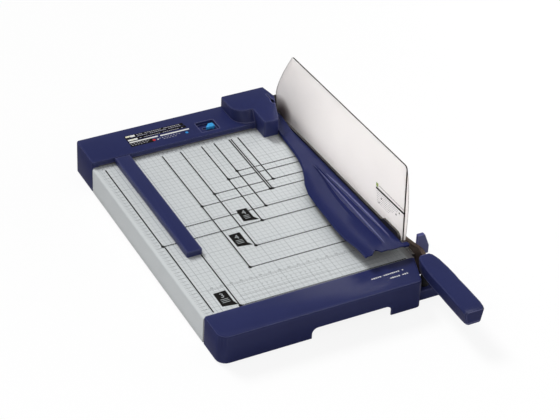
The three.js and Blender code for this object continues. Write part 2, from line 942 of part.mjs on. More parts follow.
// Upright tab that keeps the hand off the blade, with its foot on the lever's outer face
function fingerGuardBody() {
  const left = leverRight + gap;
  const corners = [
    [left, fingerGuard.bottom],
    [left + fingerGuard.width, fingerGuard.bottom, fingerGuard.corner],
    [left + fingerGuard.width, fingerGuard.shoulder, fingerGuard.corner],
    [left + fingerGuard.topWidth, fingerGuard.top, fingerGuard.corner],
    [left, fingerGuard.top, fingerGuard.corner],
  ];
  const back = -table.span + fingerGuard.frontInset;
  const front = back - fingerGuard.thickness;
  const plate = prismY(corners, front, back);
  const foot = block(
    left,
    left + fingerGuard.footWall,
    front - fingerGuard.footLength + fingerGuard.thickness,
    front + weld,
    fingerGuard.bottom,
    fingerGuard.footTop,
  );
  const gusset = prismZ(
    [
      [left + fingerGuard.footWall - weld, front + weld],
      [left + fingerGuard.footWall - weld, front - fingerGuard.footLength / 2],
      [left + fingerGuard.gussetWidth, front + weld],
    ],
    fingerGuard.bottom,
    fingerGuard.bottom + fingerGuard.footWall,
  );
  return plate.add(foot).add(gusset);
}

// Front cap: moulded shell over the table's front edge
function capCorners() {
  return [
    [-table.width, capRear, cap.rearCorner],
    [-table.width, capFront, cap.leftCorner],
    [-cap.frontRight, capFront, cap.rightCorner],
    [-cap.rearRight, capRear, cap.rearCorner],
  ];
}

function frontCap() {
  const outer = capCorners();
  const inner = inset(outer, cap.wall);
  const roof = cap.rise - cap.wall;
  let body = roundedPrismZ(outer, bedBottom, cap.rise, cap.edge);
  body = body.subtract(prismZ(inner, bedBottom - overrun, roof));
  const tongueRight = railRight + gap;
  body = body.subtract(
    block(
      -table.width + cap.wall,
      tongueRight,
      railFront - gap,
      capRear + overrun,
      bedBottom - overrun,
      gap,
    ),
  );
  body = body.add(capRibs(roof));
  body = body.add(footBoss(-table.width + foot.inset, capFront + foot.inset, roof));
  return body.subtract(handNotch()).subtract(ledgeWindow());
}

function capRibs(roof) {
  const front = capFront + cap.wall - weld;
  const places = spread(-table.width, -cap.frontRight, cap.ribs + 2).slice(1, -1);
  return places
    .map((x) => block(x, x + cap.ribWall, front, railFront - overrun, bedBottom + cap.ribLift, roof + weld))
    .reduce((all, rib) => all.add(rib));
}

function handNotch() {
  const right = -notch.fromEdge;
  const left = right - notch.width;
  const corners = [
    [left, bedBottom - overrun],
    [right, bedBottom - overrun],
    [right, bedBottom + notch.height, notch.corner],
    [left, bedBottom + notch.height, notch.corner],
  ];
  return prismY(corners, capFront - overrun, railFront - gap);
}

function ledgeWindow() {
  return block(
    -ledge.tuck,
    overrun,
    ledgeFront() - gap,
    ledgeRear() + gap,
    bedBottom - overrun,
    ledgeTop() + gap,
  );
}

// A foot's boss hangs from a roof down to the open underside
function footBoss(x, y, roof) {
  const boss = rodZ(foot.boss, x, y, bedBottom, roof + weld, bossSides);
  return boss.subtract(stemHole(x, y));
}

function stemHole(x, y) {
  return rodZ(foot.stem + gap, x, y, bedBottom - overrun, bedBottom + foot.stemHeight + gap);
}

// Ledge beside the cap: it stops the lever and widens the stance
function ledgeTop() {
  return bedBottom + ledge.height;
}

function ledgeRear() {
  return railFront - gap;
}

function ledgeFront() {
  return ledgeRear() - ledge.depth;
}

function armRest() {
  const corners = [
    [-ledge.tuck + gap, ledgeFront()],
    [ledge.reach, ledgeFront(), ledge.corner],
    [ledge.reach, ledgeRear(), ledge.corner],
    [-ledge.tuck + gap, ledgeRear()],
  ];
  const shell = roundedPrismZ(corners, bedBottom, ledgeTop(), ledge.edge);
  const hollow = prismZ(inset(corners, ledge.wall), bedBottom - overrun, ledgeTop() - ledge.wall);
  const boss = footBoss(foot.ledgeX, (ledgeFront() + ledgeRear()) / 2, ledgeTop() - ledge.wall);
  return shell.subtract(hollow).add(boss);
}

function armBuffer() {
  const bottom = ledgeTop() + gap;
  const top = handle.bottom - gap;
  const profile = [
    [0, bottom],
    [buffer.foot, bottom],
    [buffer.foot, bottom + buffer.footHeight],
    [buffer.radius, bottom + buffer.footHeight],
    [buffer.radius, top - buffer.edge],
    [buffer.radius - buffer.edge, top],
    [0, top],
  ];
  return solid(turned(profile, pinSides).translate(buffer.x, ledgeRear() - buffer.fromRear, 0));
}

// Rear head: moulded shell with the paper stop, the gauge channel and the slider window
function headCorners() {
  return [
    [-table.width, -head.lip, head.frontCorner],
    [0, -head.lip],
    [0, head.depth],
    [-table.width, head.depth, head.corner],
  ];
}

function rearHead() {
  const outer = headCorners();
  const roof = head.rise - head.wall;
  let body = roundedPrismZ(outer, bedBottom, head.rise, head.edge);
  body = body.subtract(prismZ(headHollow(), bedBottom - overrun, roof));
  const under = [-table.width + head.wall, overrun, -head.lip - overrun, table.rearTongue + gap];
  body = body.subtract(block(...under, bedBottom - overrun, gap));
  const reach = [-head.lip - overrun, head.depth + overrun, bedBottom - overrun, head.rise + overrun];
  body = body.subtract(block(-head.right, head.edge + overrun, ...reach));
  body = body.add(headRibs(roof)).add(headEnd());
  body = body.add(footBoss(-table.width + foot.inset, head.depth - foot.inset, roof));
  return body.subtract(gaugeChannel()).add(windowWell()).subtract(windowCut());
}

// Hollow behind the paper stop
function headHollow() {
  const front = head.wall;
  return [
    [-table.width + head.wall, front],
    [overrun, front],
    [overrun, head.depth - head.wall],
    [-table.width + head.wall, head.depth - head.wall, head.corner - head.wall],
  ];
}

function headRibs(roof) {
  const places = spread(-table.width, -head.right, head.ribs + 2).slice(1, -1);
  return places
    .map((x) =>
      block(
        x,
        x + cap.ribWall,
        table.rearTongue + overrun,
        head.depth - head.wall + weld,
        bedBottom + cap.ribLift,
        roof + weld,
      ),
    )
    .reduce((all, rib) => all.add(rib));
}

// End wall beside the pivot housing
function headEnd() {
  const wallBody = block(
    -head.right - head.wall,
    -head.right,
    0,
    head.depth - head.wall + weld,
    bedBottom,
    head.rise - weld,
  );
  return wallBody.subtract(
    block(
      -head.right - head.wall - overrun,
      -head.right + overrun,
      -overrun,
      table.rearTongue + gap,
      bedBottom - overrun,
      gap,
    ),
  );
}

function gaugeChannel() {
  const slot = block(-head.channelLeft, -head.channelRight, -head.lip - overrun, 0, 0, head.slotHeight);
  return slot.add(
    block(-head.channelLeft, -head.channelRight, -head.lip + head.lipWall, 0, 0, head.channelTop),
  );
}

function windowWell() {
  const { left, right, front, back, wall, deep, floor } = sliderWindow;
  return block(
    -left - wall,
    -right + wall,
    front - wall,
    back + wall,
    head.rise - deep - floor,
    head.rise - head.wall + weld,
  );
}

function windowCut() {
  const { left, right, front, back, deep } = sliderWindow;
  const pocket = block(-left, -right, front, back, head.rise - deep, head.rise + overrun);
  const half = slider.stem / 2 + gap;
  const stemRight = sliderCentre + half;
  const stemLeft = sliderCentre - half - slider.travel;
  return pocket.add(block(stemLeft, stemRight, sliderMiddle - half, sliderMiddle + half, 0, head.rise));
}

// Sliding button with a stem through the window's floor, and the plate that keeps it there
function sliderButton() {
  const bottom = head.rise - sliderWindow.deep + gap;
  const front = sliderMiddle - slider.depth / 2;
  const back = sliderMiddle + slider.depth / 2;
  const corners = [
    [sliderRight - slider.width, front, slider.corner],
    [sliderRight, front, slider.corner],
    [sliderRight, back, slider.corner],
    [sliderRight - slider.backWidth, back, slider.corner],
  ];
  const button = roundedPrismZ(corners, bottom, bottom + slider.height - gap, slider.edge);
  const stemBottom = head.rise - sliderWindow.deep - sliderWindow.floor - gap - slider.plate;
  return button.add(sliderColumn(slider.stem / 2, stemBottom, bottom + weld));
}

function sliderColumn(half, bottom, top) {
  return block(
    sliderCentre - half,
    sliderCentre + half,
    sliderMiddle - half,
    sliderMiddle + half,
    bottom,
    top,
  );
}

function sliderPlate() {
  const top = head.rise - sliderWindow.deep - sliderWindow.floor - gap;
  const bottom = top - slider.plate;
  const plate = sliderColumn(slider.stem / 2 + slider.plateMargin, bottom, top);
  return plate.subtract(sliderColumn(slider.stem / 2 + gap, bottom - overrun, top + overrun));
}

// Pivot housing: raised cover with a round lobe, the block beside the clamp and a slit in its roof
function housingCorners() {
  return [
    [-housing.left, housing.back, housing.backCorner],
    [-housing.left, housing.lobeFront, housing.lobeRadius],
    [-housing.blockLeft, housing.lobeFront, housing.edge],
    [-housing.blockLeft, -housing.blockReach, housing.corner],
    [-housing.blockRight, -housing.blockReach, housing.corner],
    [-housing.right, housing.rightFront, housing.corner],
    [-housing.rearRight, housing.back, housing.corner],
  ];
}

function housingSkirtCorners() {
  return [
    [-housing.blockLeft, housing.back, housing.corner],
    [-housing.blockLeft, -housing.blockReach, housing.corner],
    [-housing.blockRight, -housing.blockReach, housing.corner],
    [-housing.right, housing.rightFront, housing.corner],
    [-housing.rearRight, housing.back, housing.corner],
  ];
}

// The lobe's front wall leans out towards the paper stop
function lobeCorners(front, radius) {
  return [
    [-housing.left, housing.back, housing.backCorner],
    [-housing.left, front, radius],
    [-housing.blockLeft + weld, front],
    [-housing.blockLeft + weld, housing.back],
  ];
}

function lobeBody(wall, bottom, top) {
  const low = outline(inset(lobeCorners(housing.apronFront, housing.apronRadius), wall));
  const high = outline(inset(lobeCorners(housing.lobeFront, housing.lobeRadius), wall));
  const points = [
    ...low.map((point) => new THREE.Vector3(point.x, point.y, bottom)),
    ...high.map((point) => new THREE.Vector3(point.x, point.y, top)),
  ];
  return solid(new ConvexGeometry(points));
}

function pivotHousing() {
  const seat = head.rise + gap;
  const roof = housing.rise - housing.wall;
  const upper = roundedPrismZ(housingCorners(), seat, housing.rise, housing.edge);
  const skirt = prismZ(housingSkirtCorners(), gap, seat + weld);
  const rearFront = housing.back - housing.rearDepth;
  const rear = block(
    -housing.blockLeft,
    -fixedBlade.width,
    rearFront,
    housing.back,
    bedBottom,
    gap + weld,
  );
  const lobe = lobeBody(0, seat, housing.rise - housing.edge);
  let body = upper.add(lobe).add(skirt).add(rear);
  body = body.subtract(prismZ(inset(housingCorners(), housing.wall), seat - weld, roof));
  body = body.subtract(lobeBody(housing.wall, seat - weld, roof - housing.wall));
  body = body.subtract(prismZ(inset(housingSkirtCorners(), housing.wall), -overrun, seat + weld));
  body = body.subtract(
    block(
      -housing.blockLeft + housing.wall,
      -fixedBlade.width - housing.wall,
      rearFront + housing.wall,
      housing.back - housing.wall,
      bedBottom - overrun,
      gap + overrun,
    ),
  );
  const footY = housing.back - housing.rearDepth / 2;
  const bossTop = bedBottom + foot.bossHeight;
  const boss = rodZ(foot.boss, -foot.rightInset, footY, bedBottom, bossTop, bossSides);
  body = body.add(boss).subtract(stemHole(-foot.rightInset, footY));
  return body.subtract(neckOpening()).subtract(roofSlit(roof));
}

// Slit in the roof over the clamp's hinge, wider at its front
function roofSlit(roof) {
  const cut = (width, back) =>
    block(
      -slit.x - width / 2,
      -slit.x + width / 2,
      slit.front,
      back,
      roof - overrun,
      housing.rise + overrun,
    );
  return cut(slit.width, slit.back).add(cut(slit.wideWidth, slit.wideBack));
}

// Way out for the clamp's neck through the slanted side
function neckOpening() {
  return block(
    -housing.blockRight + gap,
    0,
    -housing.blockReach - overrun,
    clampBracket.back + gap,
    -overrun,
    housing.neckHeight,
  );
}

// Paper clamp: a lofted wing with two beads, hollow below
function clampY(share) {
  return THREE.MathUtils.lerp(clampHinge.back, clampFront, share);
}

// A smooth line through [place, value] pairs, as a function of the place
function smoothLine(pairs) {
  const curve = new THREE.SplineCurve(pairs.map(([place, value]) => new THREE.Vector2(place, value)));
  const samples = curve.getPoints(pairs.length * lineSteps);
  return (place) => {
    const next = samples.findIndex((point) => point.x >= place);
    if (next < 0) return samples.at(-1).y;
    if (next === 0) return samples[0].y;
    const before = samples[next - 1];
    const after = samples[next];
    return THREE.MathUtils.mapLinear(place, before.x, after.x, before.y, after.y);
  };
}

function clampRing(share, wide, largeWide, smallWide) {
  const growth = THREE.MathUtils.smoothstep(share, ...beadStartShares);
  const fade = 1 - THREE.MathUtils.smoothstep(share, ...beadEndShares);
  const largeRise = clamp.beadRise * fade;
  const smallRise = clamp.smallBeadRise * fade;
  const right = -clamp.right;
  const left = right - clamp.width * wide;
  const large = right - clamp.width * largeWide;
  const small = right - clamp.width * smallWide;
  const bead = (small - large) / 4;
  const shoulder = left + clamp.leftBevel;
  const raised = (height) => clamp.leftTop + (height - clamp.leftTop) * growth;
  const topLine = [
    [left, clamp.sole],
    [left + clamp.leftBevel / 2, (clamp.sole + clamp.leftTop) / 2 + clamp.sole],
    [shoulder, clamp.leftTop],
    [(shoulder + large - bead) / 2, raised((clamp.leftTop + clamp.crown) / 2)],
    [large - bead, raised(clamp.crown)],
    [large, raised(clamp.crown + largeRise)],
    [large + bead, raised(clamp.groove + largeRise / 3)],
    [(large + small) / 2, raised(clamp.groove)],
    [small - bead, raised(clamp.groove)],
    [small, raised(clamp.groove + smallRise)],
    [small + bead, raised(clamp.groove)],
    [right, clamp.rightTop],
  ];
  const ceiling = (height) => Math.max(height - clamp.wall, clamp.sole + weld);
  const underLine = topLine
    .slice(2, -1)
    .map(([x, z]) => [x, ceiling(z)])
    .reverse();
  const sole = [
    [right, clamp.sole],
    [right - clamp.wall, clamp.sole],
    [right - clamp.wall + gap, ceiling(clamp.rightTop)],
  ];
  const y = clampY(share);
  const ring = [...topLine, ...sole, ...underLine, [shoulder, clamp.sole]];
  return ring.reverse().map(([x, z]) => new THREE.Vector3(x, y, z));
}

function paperClamp() {
  const lines = [clampEdgeShares, largeBeadShares, smallBeadShares].map(smoothLine);
  const rings = clampStationShares.map((share) => clampRing(share, ...lines.map((line) => line(share))));
  let body = loft(rings);
  body = body.add(clampTab()).subtract(clampScoop()).add(clampNeckBody());
  body = body.add(padStrip(clampPad.bottom + clampPad.height + gap, clampPad.ribTop));
  return body;
}

// Corner that wraps in front of the guard
function clampTab() {
  return prismZ(
    [
      [-clamp.right - clamp.wall, clampFront],
      [-clamp.right + clamp.tabReach, clampFront, clamp.tabCorner],
      [-clamp.right + clamp.tabReach, clampFront + clamp.tabLength - weld, clamp.tabCorner],
      [-clamp.right - clamp.wall, clampFront + clamp.tabLength - weld],
    ],
    clamp.sole,
    clamp.rightTop,
  );
}

// Scoop in the front edge beside the left tip
function clampScoop() {
  const right = -clamp.right - clamp.scoopFromRight;
  const front = clampFront - overrun;
  return prismZ(
    [
      [right - clamp.scoopWidth, front],
      [right, front],
      [right - clamp.scoopWidth / 3, clampFront + clamp.scoopDepth, clamp.scoopDepth / 3],
    ],
    -overrun,
    clamp.scoopTop,
  );
}

function clampNeckBody() {
  const { left, right, back, rise, eye, pin } = clampHinge;
  const start = clampY(clampStationShares[0]) - clampNeck.lap;
  const profile = [
    [start, clampNeck.bottom],
    [back, rise - eye],
    [back, rise + eye],
    [-clampNeck.mid, clampNeck.midTop, eye],
    [start, clampNeck.startTop],
  ];
  const neck = prismX(profile, -left, -right).add(rodX(eye, -left, -right, back, rise, bossSides));
  const middle = -(left + right) / 2;
  const half = clampSpring.bay / 2;
  const reach = eye + 3 * gap;
  const bay = block(middle - half, middle + half, back - reach, back + reach, 0, rise + reach);
  return neck.subtract(bay).subtract(rodX(pin + gap, -left - overrun, -right + overrun, back, rise));
}

function clampPin() {
  const { left, right, back, rise, pin } = clampHinge;
  const outer = clampBracket.ear + 2 * gap;
  return rodX(pin, -left - outer, -right + outer, back, rise);
}

// Folded bracket with two ears for the hinge pin
function hingeBracket() {
  const { left, right, back, rise, pin } = clampHinge;
  const { sheet, ear, front, back: rear, top, corner } = clampBracket;
  const earLeft = -left - gap - ear;
  const earRight = -right + gap + ear;
  const base = block(earLeft, earRight, front, rear, gap, gap + sheet);
  const side = [
    [front, gap],
    [rear, gap],
    [rear, top, corner],
    [front, top, corner],
  ];
  const ears = prismX(side, earLeft, earLeft + ear).add(prismX(side, earRight - ear, earRight));
  const hole = rodX(pin + gap, earLeft - overrun, earRight + overrun, back, rise);
  return base.add(ears).subtract(hole);
}

// Coil round the hinge pin
class CoilCurve extends THREE.Curve {
  getPoint(t, target = new THREE.Vector3()) {
    const angle = t * clampSpring.turns * 2 * Math.PI;
    const start = -(clampSpring.turns * clampSpring.pitch) / 2;
    return target.set(
      start + t * clampSpring.turns * clampSpring.pitch,
      clampSpring.radius * Math.cos(angle),
      clampSpring.radius * Math.sin(angle),
    );
  }
}

function springCoil() {
  const { wire, turns, stepsPerTurn, sides } = clampSpring;
  const section = Array.from({ length: sides }, (_, index) => {
    const angle = (index * 2 * Math.PI) / sides;
    return new THREE.Vector2((wire / 2) * Math.cos(angle), (wire / 2) * Math.sin(angle));
  });
  const extrudePath = new CoilCurve();
  const steps = turns * stepsPerTurn;
  const coil = new THREE.ExtrudeGeometry(new THREE.Shape(section), { steps, extrudePath });
  const middle = -(clampHinge.left + clampHinge.right) / 2;
  return solid(coil.translate(middle, clampHinge.back, clampHinge.rise));
}

// Least gap between neighbouring turns, measured on points of the coil
function coilGap() {
  const path = new CoilCurve();
  const count = clampSpring.turns * clampSpring.stepsPerTurn;
  const points = Array.from({ length: count + 1 }, (_, index) => path.getPoint(index / count));
  const apart = points.flatMap((point, index) =>
    points.slice(index + clampSpring.stepsPerTurn / 2).map((other) => point.distanceTo(other)),
  );
  return Math.min(...apart) - clampSpring.wire;
}

// Rubber strip along the clamp's right edge, and the rib that it is stuck to
function padStrip(bottom, top) {
  const right = -clamp.right - clamp.wall - clampPad.inset;
  const rear = clampY(clampStationShares[0]) - clampPad.margin;
  return block(right - clampPad.width, right, clampFront + clampPad.margin, rear, bottom, top);
}

function rubberPad() {
  return padStrip(clampPad.bottom, clampPad.bottom + clampPad.height);
}

// Dark strip between the clamp and the guard, raised towards the front
function guardStrip() {
  const corners = [
    [stripRear, guardRail.bottom],
    [stripRear, guardRail.rearTop],
    [-guardRail.quarter, guardRail.quarterTop],
    [-table.span + guardRail.stepFoot, guardRail.stepFootTop],
    [-table.span + guardRail.stepHead, guardRail.stepTop, guardRail.corner],
    [-table.span + guardRail.stepEnd, guardRail.stepTop, guardRail.corner],
    [stripFront, guardRail.stepFootTop],
    [stripFront, guardRail.bottom],
  ];
  let body = prismX(corners.reverse(), railStripLeft, railStripLeft + guardRail.thickness);
  guardScrewPlaces().forEach((y) => {
    body = body.subtract(guardHole(y));
  });
  return body;
}

function guardScrewPlaces() {
  return guardScrewShares.map((share) => THREE.MathUtils.lerp(stripRear, stripFront, share));
}

function guardHole(y) {
  const left = railStripLeft - overrun;
  return rodX(guardScrew.radius + gap, left, guardRight + overrun, y, guardScrew.rise, screwSides);
}

// Clear guard: flat sheet with a bowed rear edge and a return flange at the front
function guardSheet() {
  const shape = new THREE.Shape();
  shape.moveTo(guardFront, guard.bottom);
  shape.lineTo(guard.rearTail, guard.bottom);
  shape.lineTo(guard.rearReach, guard.rearShoulder);
  shape.quadraticCurveTo(
    guard.rearBow + guard.apexCorner,
    guard.rearBowRise,
    guard.apexBack + guard.apexCorner / 2,
    guard.top - guard.apexCorner,
  );
  shape.quadraticCurveTo(guard.apexBack, guard.top, guard.apexBack - guard.apexCorner, guard.top);
  shape.lineTo(guardFront + guard.frontCorner, guard.top);
  shape.quadraticCurveTo(guardFront, guard.top, guardFront, guard.top - guard.frontCorner);
  const flat = prism(shape.getPoints(curveSteps), guard.sheet)
    .applyMatrix4(alongX)
    .translate(guardLeft, 0, 0);
  const flangeShape = new THREE.Shape();
  flangeShape.moveTo(guardLeft + weld, guard.bottom);
  flangeShape.lineTo(guardRight + guard.flangeFoot, guard.bottom);
  flangeShape.quadraticCurveTo(
    guardRight + guard.flangeBow,
    guard.flangeBowRise,
    guardRight,
    guard.flangeTop,
  );
  flangeShape.lineTo(guardLeft + weld, guard.flangeTop);
  const flange = solid(
    prism(flangeShape.getPoints(bowSteps), guard.sheet)
      .applyMatrix4(alongFront)
      .translate(0, guardFront + guard.sheet, 0),
  );
  let body = solid(flat).add(flange);
  guardScrewPlaces().forEach((y) => {
    body = body.subtract(guardHole(y));
  });
  return body;
}

// Gauge: moulded bar, hollow below, with a relieved underside
function gaugeBar() {
  const right = -gauge.right;
  const left = right - gauge.width;
  const rear = gaugeRear;
  const front = rear - gauge.length;
  const top = gauge.lift + gauge.height;
  const plan = [
    [left, front, gauge.corner],
    [right, front, gauge.corner],
    [right, rear],
    [left, rear],
  ];
  const outer = roundedPrismZ(plan, gauge.lift, top, gauge.corner / 2);
  const hollow = block(
    left + gauge.wall,
    right - gauge.wall,
    front + gauge.frontWall,
    rear + overrun,
    0,
    runner.hookTop,
  );
  const reliefs = gaugeReliefShares
    .map(([start, end]) =>
      block(
        left - overrun,
        right + overrun,
        rear - gauge.length * end,
        rear - gauge.length * start,
        0,
        gauge.lift + gauge.relief,
      ),
    )
    .reduce((all, cut) => all.add(cut));
  return outer.subtract(hollow).subtract(reliefs);
}

// Runner: steel tongue under the head's lip, hooked up behind it
function gaugeRunner() {
  const left = -gauge.right - gauge.width + gauge.wall + runner.sideGap;
  const right = -gauge.right - gauge.wall - runner.sideGap;
  const behindLip = -head.lip + head.lipWall + gap;
  const hookBack = behindLip + runner.hookWall;
  const front = gaugeRear - runner.length;
  const tongue = block(left, right, front, hookBack, runner.lift, runner.lift + runner.sheet);
  const hook = block(left, right, behindLip, hookBack, runner.lift, runner.hookTop);
  const saddle = block(
    left,
    right,
    front,
    front + runner.saddleWall,
    runner.lift,
    runner.hookTop - gap,
  );
  return tongue.add(hook).add(saddle);
}

// Rubber foot with a stem that plugs into its boss
function rubberFoot() {
  const profile = [
    [0, 0],
    [foot.radius - foot.edge, 0],
    [foot.radius, foot.edge],
    [foot.radius, foot.height - gap],
    [foot.stem, foot.height - gap],
    [foot.stem, foot.height + foot.stemHeight - gap],
    [0, foot.height + foot.stemHeight - gap],
  ];
  return solid(turned(profile, pinSides));
}

// Screws, each laid along x or z at its place
function screwMesh(name, geometry, material, place, turn) {
  const mesh = new THREE.Mesh(geometryOf(solid(geometry)), material);
  mesh.name = name;
  mesh.position.set(...place);
  mesh.rotation.set(...turn);
  return mesh;
}

function frameGroup() {
  const group = new THREE.Group();
  group.add(piece("bed_table", tableSheet(), paintedSteel));
  group.add(piece("edge_rail", edgeRail(), greySteel));
  spread(-table.span, 0, stiffener.count + 2)
    .slice(1, -1)
    .forEach((y, index) => group.add(piece(`bed_stiffener_${index + 1}`, stiffenerBar(y), greySteel)));
  group.add(piece("fixed_blade", fixedBladeBar(), bladeSteel));
  group.add(piece("front_cap", frontCap(), navyPlastic));
  group.add(piece("arm_rest", armRest(), navyPlastic));
  group.add(piece("arm_buffer", armBuffer(), rubber));
  group.add(piece("rear_head", rearHead(), navyPlastic));
  group.add(piece("pivot_housing", pivotHousing(), navyPlastic));
  group.add(piece("pivot_bracket", pivotBracket(), darkSteel));
  group.add(piece("pivot_bolt", pivotBolt(), screwSteel));
  group.add(piece("pivot_nut", pivotNutBody(), screwSteel));
  group.add(piece("pivot_collar", pivotCollar(), greySteel));
  group.add(piece("disc_spring", coneWasher(), bladeSteel));
  const stop = stopPlace();
  group.add(
    piece("stop_pin", rodX(stopPin.radius, -fixedBlade.width, leverRight, stop.x, stop.y), screwSteel),
  );
  group.add(piece("clamp_bracket", hingeBracket(), greySteel));
  group.add(piece("clamp_hinge_pin", clampPin(), screwSteel));
  group.add(piece("clamp_spring", springCoil(), bladeSteel));
  addFrameScrews(group);
  addFeet(group);
  return group;
}

function addFrameScrews(group) {
  const turn = [0, Math.PI / 2, 0];
  const blade = countersunk(bladeScrew, bladeScrew.length);
  bladeScrewPlaces().forEach((y, index) => {
    const place = [-fixedBlade.relief - bladeScrew.sink, y, -bladeScrew.drop];
    group.add(screwMesh(`fixed_blade_screw_${index + 1}`, blade, screwSteel, place, turn));
  });
  const holder = countersunk(bracketScrew, bracketScrew.length);
  bracketScrewPlaces().forEach((y, index) => {
    const place = [bracketRight - bracketScrew.sink, y, -bracketScrew.drop];
    group.add(screwMesh(`bracket_screw_${index + 1}`, holder, screwSteel, place, turn));
  });
}

function addFeet(group) {
  const left = -table.width + foot.inset;
  const rearY = head.depth - foot.inset;
  const places = {
    foot_front_left: [left, capFront + foot.inset],
    foot_front_right: [foot.ledgeX, (ledgeFront() + ledgeRear()) / 2],
    foot_rear_left: [left, rearY],
    foot_rear_right: [-foot.rightInset, housing.back - housing.rearDepth / 2],
  };
  Object.entries(places).forEach(([name, [x, y]]) => {
    const mesh = piece(name, rubberFoot(), rubber);
    mesh.position.set(x, y, bedBottom - foot.height);
    group.add(mesh);
  });
}

function leverGroup() {
  const group = new THREE.Group();
  group.add(piece("arm_bar", leverBar(), leverSteel));
  group.add(piece("moving_blade", movingBladeBar(), bladeSteel));
  group.add(piece("handle_grip", handleGrip(), navyPlastic));
  group.add(piece("handle_base", handleBase(), navyPlastic));
  group.add(piece("finger_guard", fingerGuardBody(), navyPlastic));
  const across = panScrew(leverScrew, leverRight - gap - leverScrew.recess);
  leverScrewPlaces().forEach((y, index) => {
    const place = [leverRight, y, -leverScrew.drop];
    const turn = [0, Math.PI / 2, 0];
    group.add(screwMesh(`moving_blade_screw_${index + 1}`, across, screwSteel, place, turn));
  });
  const upwards = countersunk(handleScrew, handleScrew.length);
  handleScrewPlaces().forEach((y, index) => {
    const place = [leverMiddle, y, handle.bottom + handleScrew.sink];
    group.add(screwMesh(`handle_screw_${index + 1}`, upwards, screwSteel, place, [Math.PI, 0, 0]));
  });
  return group;
}

// The clamp is modelled pressed flat and stands open at its rest angle
function clampGroup() {
  const parts = new THREE.Group();
  parts.add(piece("paper_clamp", paperClamp(), navyPlastic));
  parts.add(piece("clamp_pad", rubberPad(), rubber));
  parts.add(piece("guard_rail", guardStrip(), darkSteel));
  parts.add(piece("guard_sheet", guardSheet(), clearPlastic));
  const across = panScrew(guardScrew, guardRight - railStripLeft);
  guardScrewPlaces().forEach((y, index) => {
    const place = [guardRight, y, guardScrew.rise];
    const turn = [0, Math.PI / 2, 0];
    parts.add(screwMesh(`guard_screw_${index + 1}`, across, screwSteel, place, turn));
  });
  parts.position.set(0, -clampHinge.back, -clampHinge.rise);
  const swing = new THREE.Group();
  swing.add(parts);
  swing.position.set(0, clampHinge.back, clampHinge.rise);
  swing.rotation.x = -THREE.MathUtils.degToRad(clamp.restAngle);
  return swing;
}

function gaugeGroup() {
  const group = new THREE.Group();
  group.add(piece("paper_gauge", gaugeBar(), navyPlastic));
  group.add(piece("gauge_runner", gaugeRunner(), greySteel));
  return group;
}

function sliderGroup() {
  const group = new THREE.Group();
  group.add(piece("lock_slider", sliderButton(), bluePlastic));
  group.add(piece("slider_plate", sliderPlate(), greySteel));
  return group;
}

console.log(`clamp spring: least gap between turns ${coilGap().toFixed(2)} mm`);

// The cutter stands on its feet, centred over the origin
const cutter = new THREE.Group();
cutter.add(frameGroup(), leverGroup(), clampGroup(), gaugeGroup(), sliderGroup());
const right = leverRight + gap + fingerGuard.width;
cutter.position.set((table.width - right) / 2, -(handleEnd + head.depth) / 2, table.skirt + foot.height);

export default cutter;
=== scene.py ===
import json
import math

import bpy
from mathutils import Matrix, Vector


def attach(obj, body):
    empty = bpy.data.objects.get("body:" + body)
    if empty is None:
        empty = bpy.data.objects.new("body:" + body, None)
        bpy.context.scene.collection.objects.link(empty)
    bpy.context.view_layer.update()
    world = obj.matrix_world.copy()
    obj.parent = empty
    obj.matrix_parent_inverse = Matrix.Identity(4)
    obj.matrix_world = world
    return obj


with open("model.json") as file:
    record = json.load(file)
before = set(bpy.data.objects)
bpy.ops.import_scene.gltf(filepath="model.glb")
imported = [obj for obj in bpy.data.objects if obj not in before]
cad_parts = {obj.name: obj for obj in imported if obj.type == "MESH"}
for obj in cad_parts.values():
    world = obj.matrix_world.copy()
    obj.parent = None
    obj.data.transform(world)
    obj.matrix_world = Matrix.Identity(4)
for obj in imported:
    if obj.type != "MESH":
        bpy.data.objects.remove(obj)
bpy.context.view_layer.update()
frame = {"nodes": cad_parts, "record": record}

scene = bpy.context.scene
scene.view_settings.view_transform = "Standard"

MM = 0.001

# The drawing's zero point in the frame: blade plane, line of the paper stop and table top
DATUM = Vector((201.35, 321.0, 61.7)) * MM


def at(x, y, z=0.0):
    """A point given in millimetres from the drawing's zero point."""
    return DATUM + Vector((x, y, z)) * MM


# Camera, solved from the printed sheet corners
CAMERA_PLACE = Vector((-1.49177, -2.73887, 2.36851))
CAMERA_RIGHT = Vector((0.88965228, -0.45467877, 0.04226145))
CAMERA_UP = Vector((0.23744995, 0.53968206, 0.80768855))
CAMERA_BACK = Vector((-0.39004658, -0.70852698, 0.58809283))
CAMERA_LENS = 129.88
CAMERA_SENSOR = 36.0
CAMERA_NEAR = 0.05
CAMERA_FAR = 60.0


def make_camera():
    data = bpy.data.cameras.new("camera")
    data.lens = CAMERA_LENS
    data.sensor_width = CAMERA_SENSOR
    data.clip_start = CAMERA_NEAR
    data.clip_end = CAMERA_FAR
    camera = bpy.data.objects.new("camera", data)
    scene.collection.objects.link(camera)
    turn = Matrix((CAMERA_RIGHT, CAMERA_UP, CAMERA_BACK)).transposed()
    camera.matrix_world = Matrix.Translation(CAMERA_PLACE) @ turn.to_4x4()
    scene.camera = camera


# Node helpers
EVEN = (1.0, 1.0, 1.0)
NODE_SAMPLES = 8

# Match of the rounded and the true normal: an edge at the first value, a flat face at the second
EDGE_MATCH = (0.84, 0.985)


def add(tree, kind, inputs=None, **settings):
    """A new node; an input is a value or another node's output socket."""
    node = tree.nodes.new(kind)
    for key, value in settings.items():
        setattr(node, key, value)
    for key, value in (inputs or {}).items():
        if isinstance(value, bpy.types.NodeSocket):
            tree.links.new(value, node.inputs[key])
        else:
            node.inputs[key].default_value = value
    return node


def rgba(colour):
    return (*colour, 1.0)


def empty_material(name):
    material = bpy.data.materials.new(name)
    material.use_nodes = True
    material.node_tree.nodes.clear()
    return material


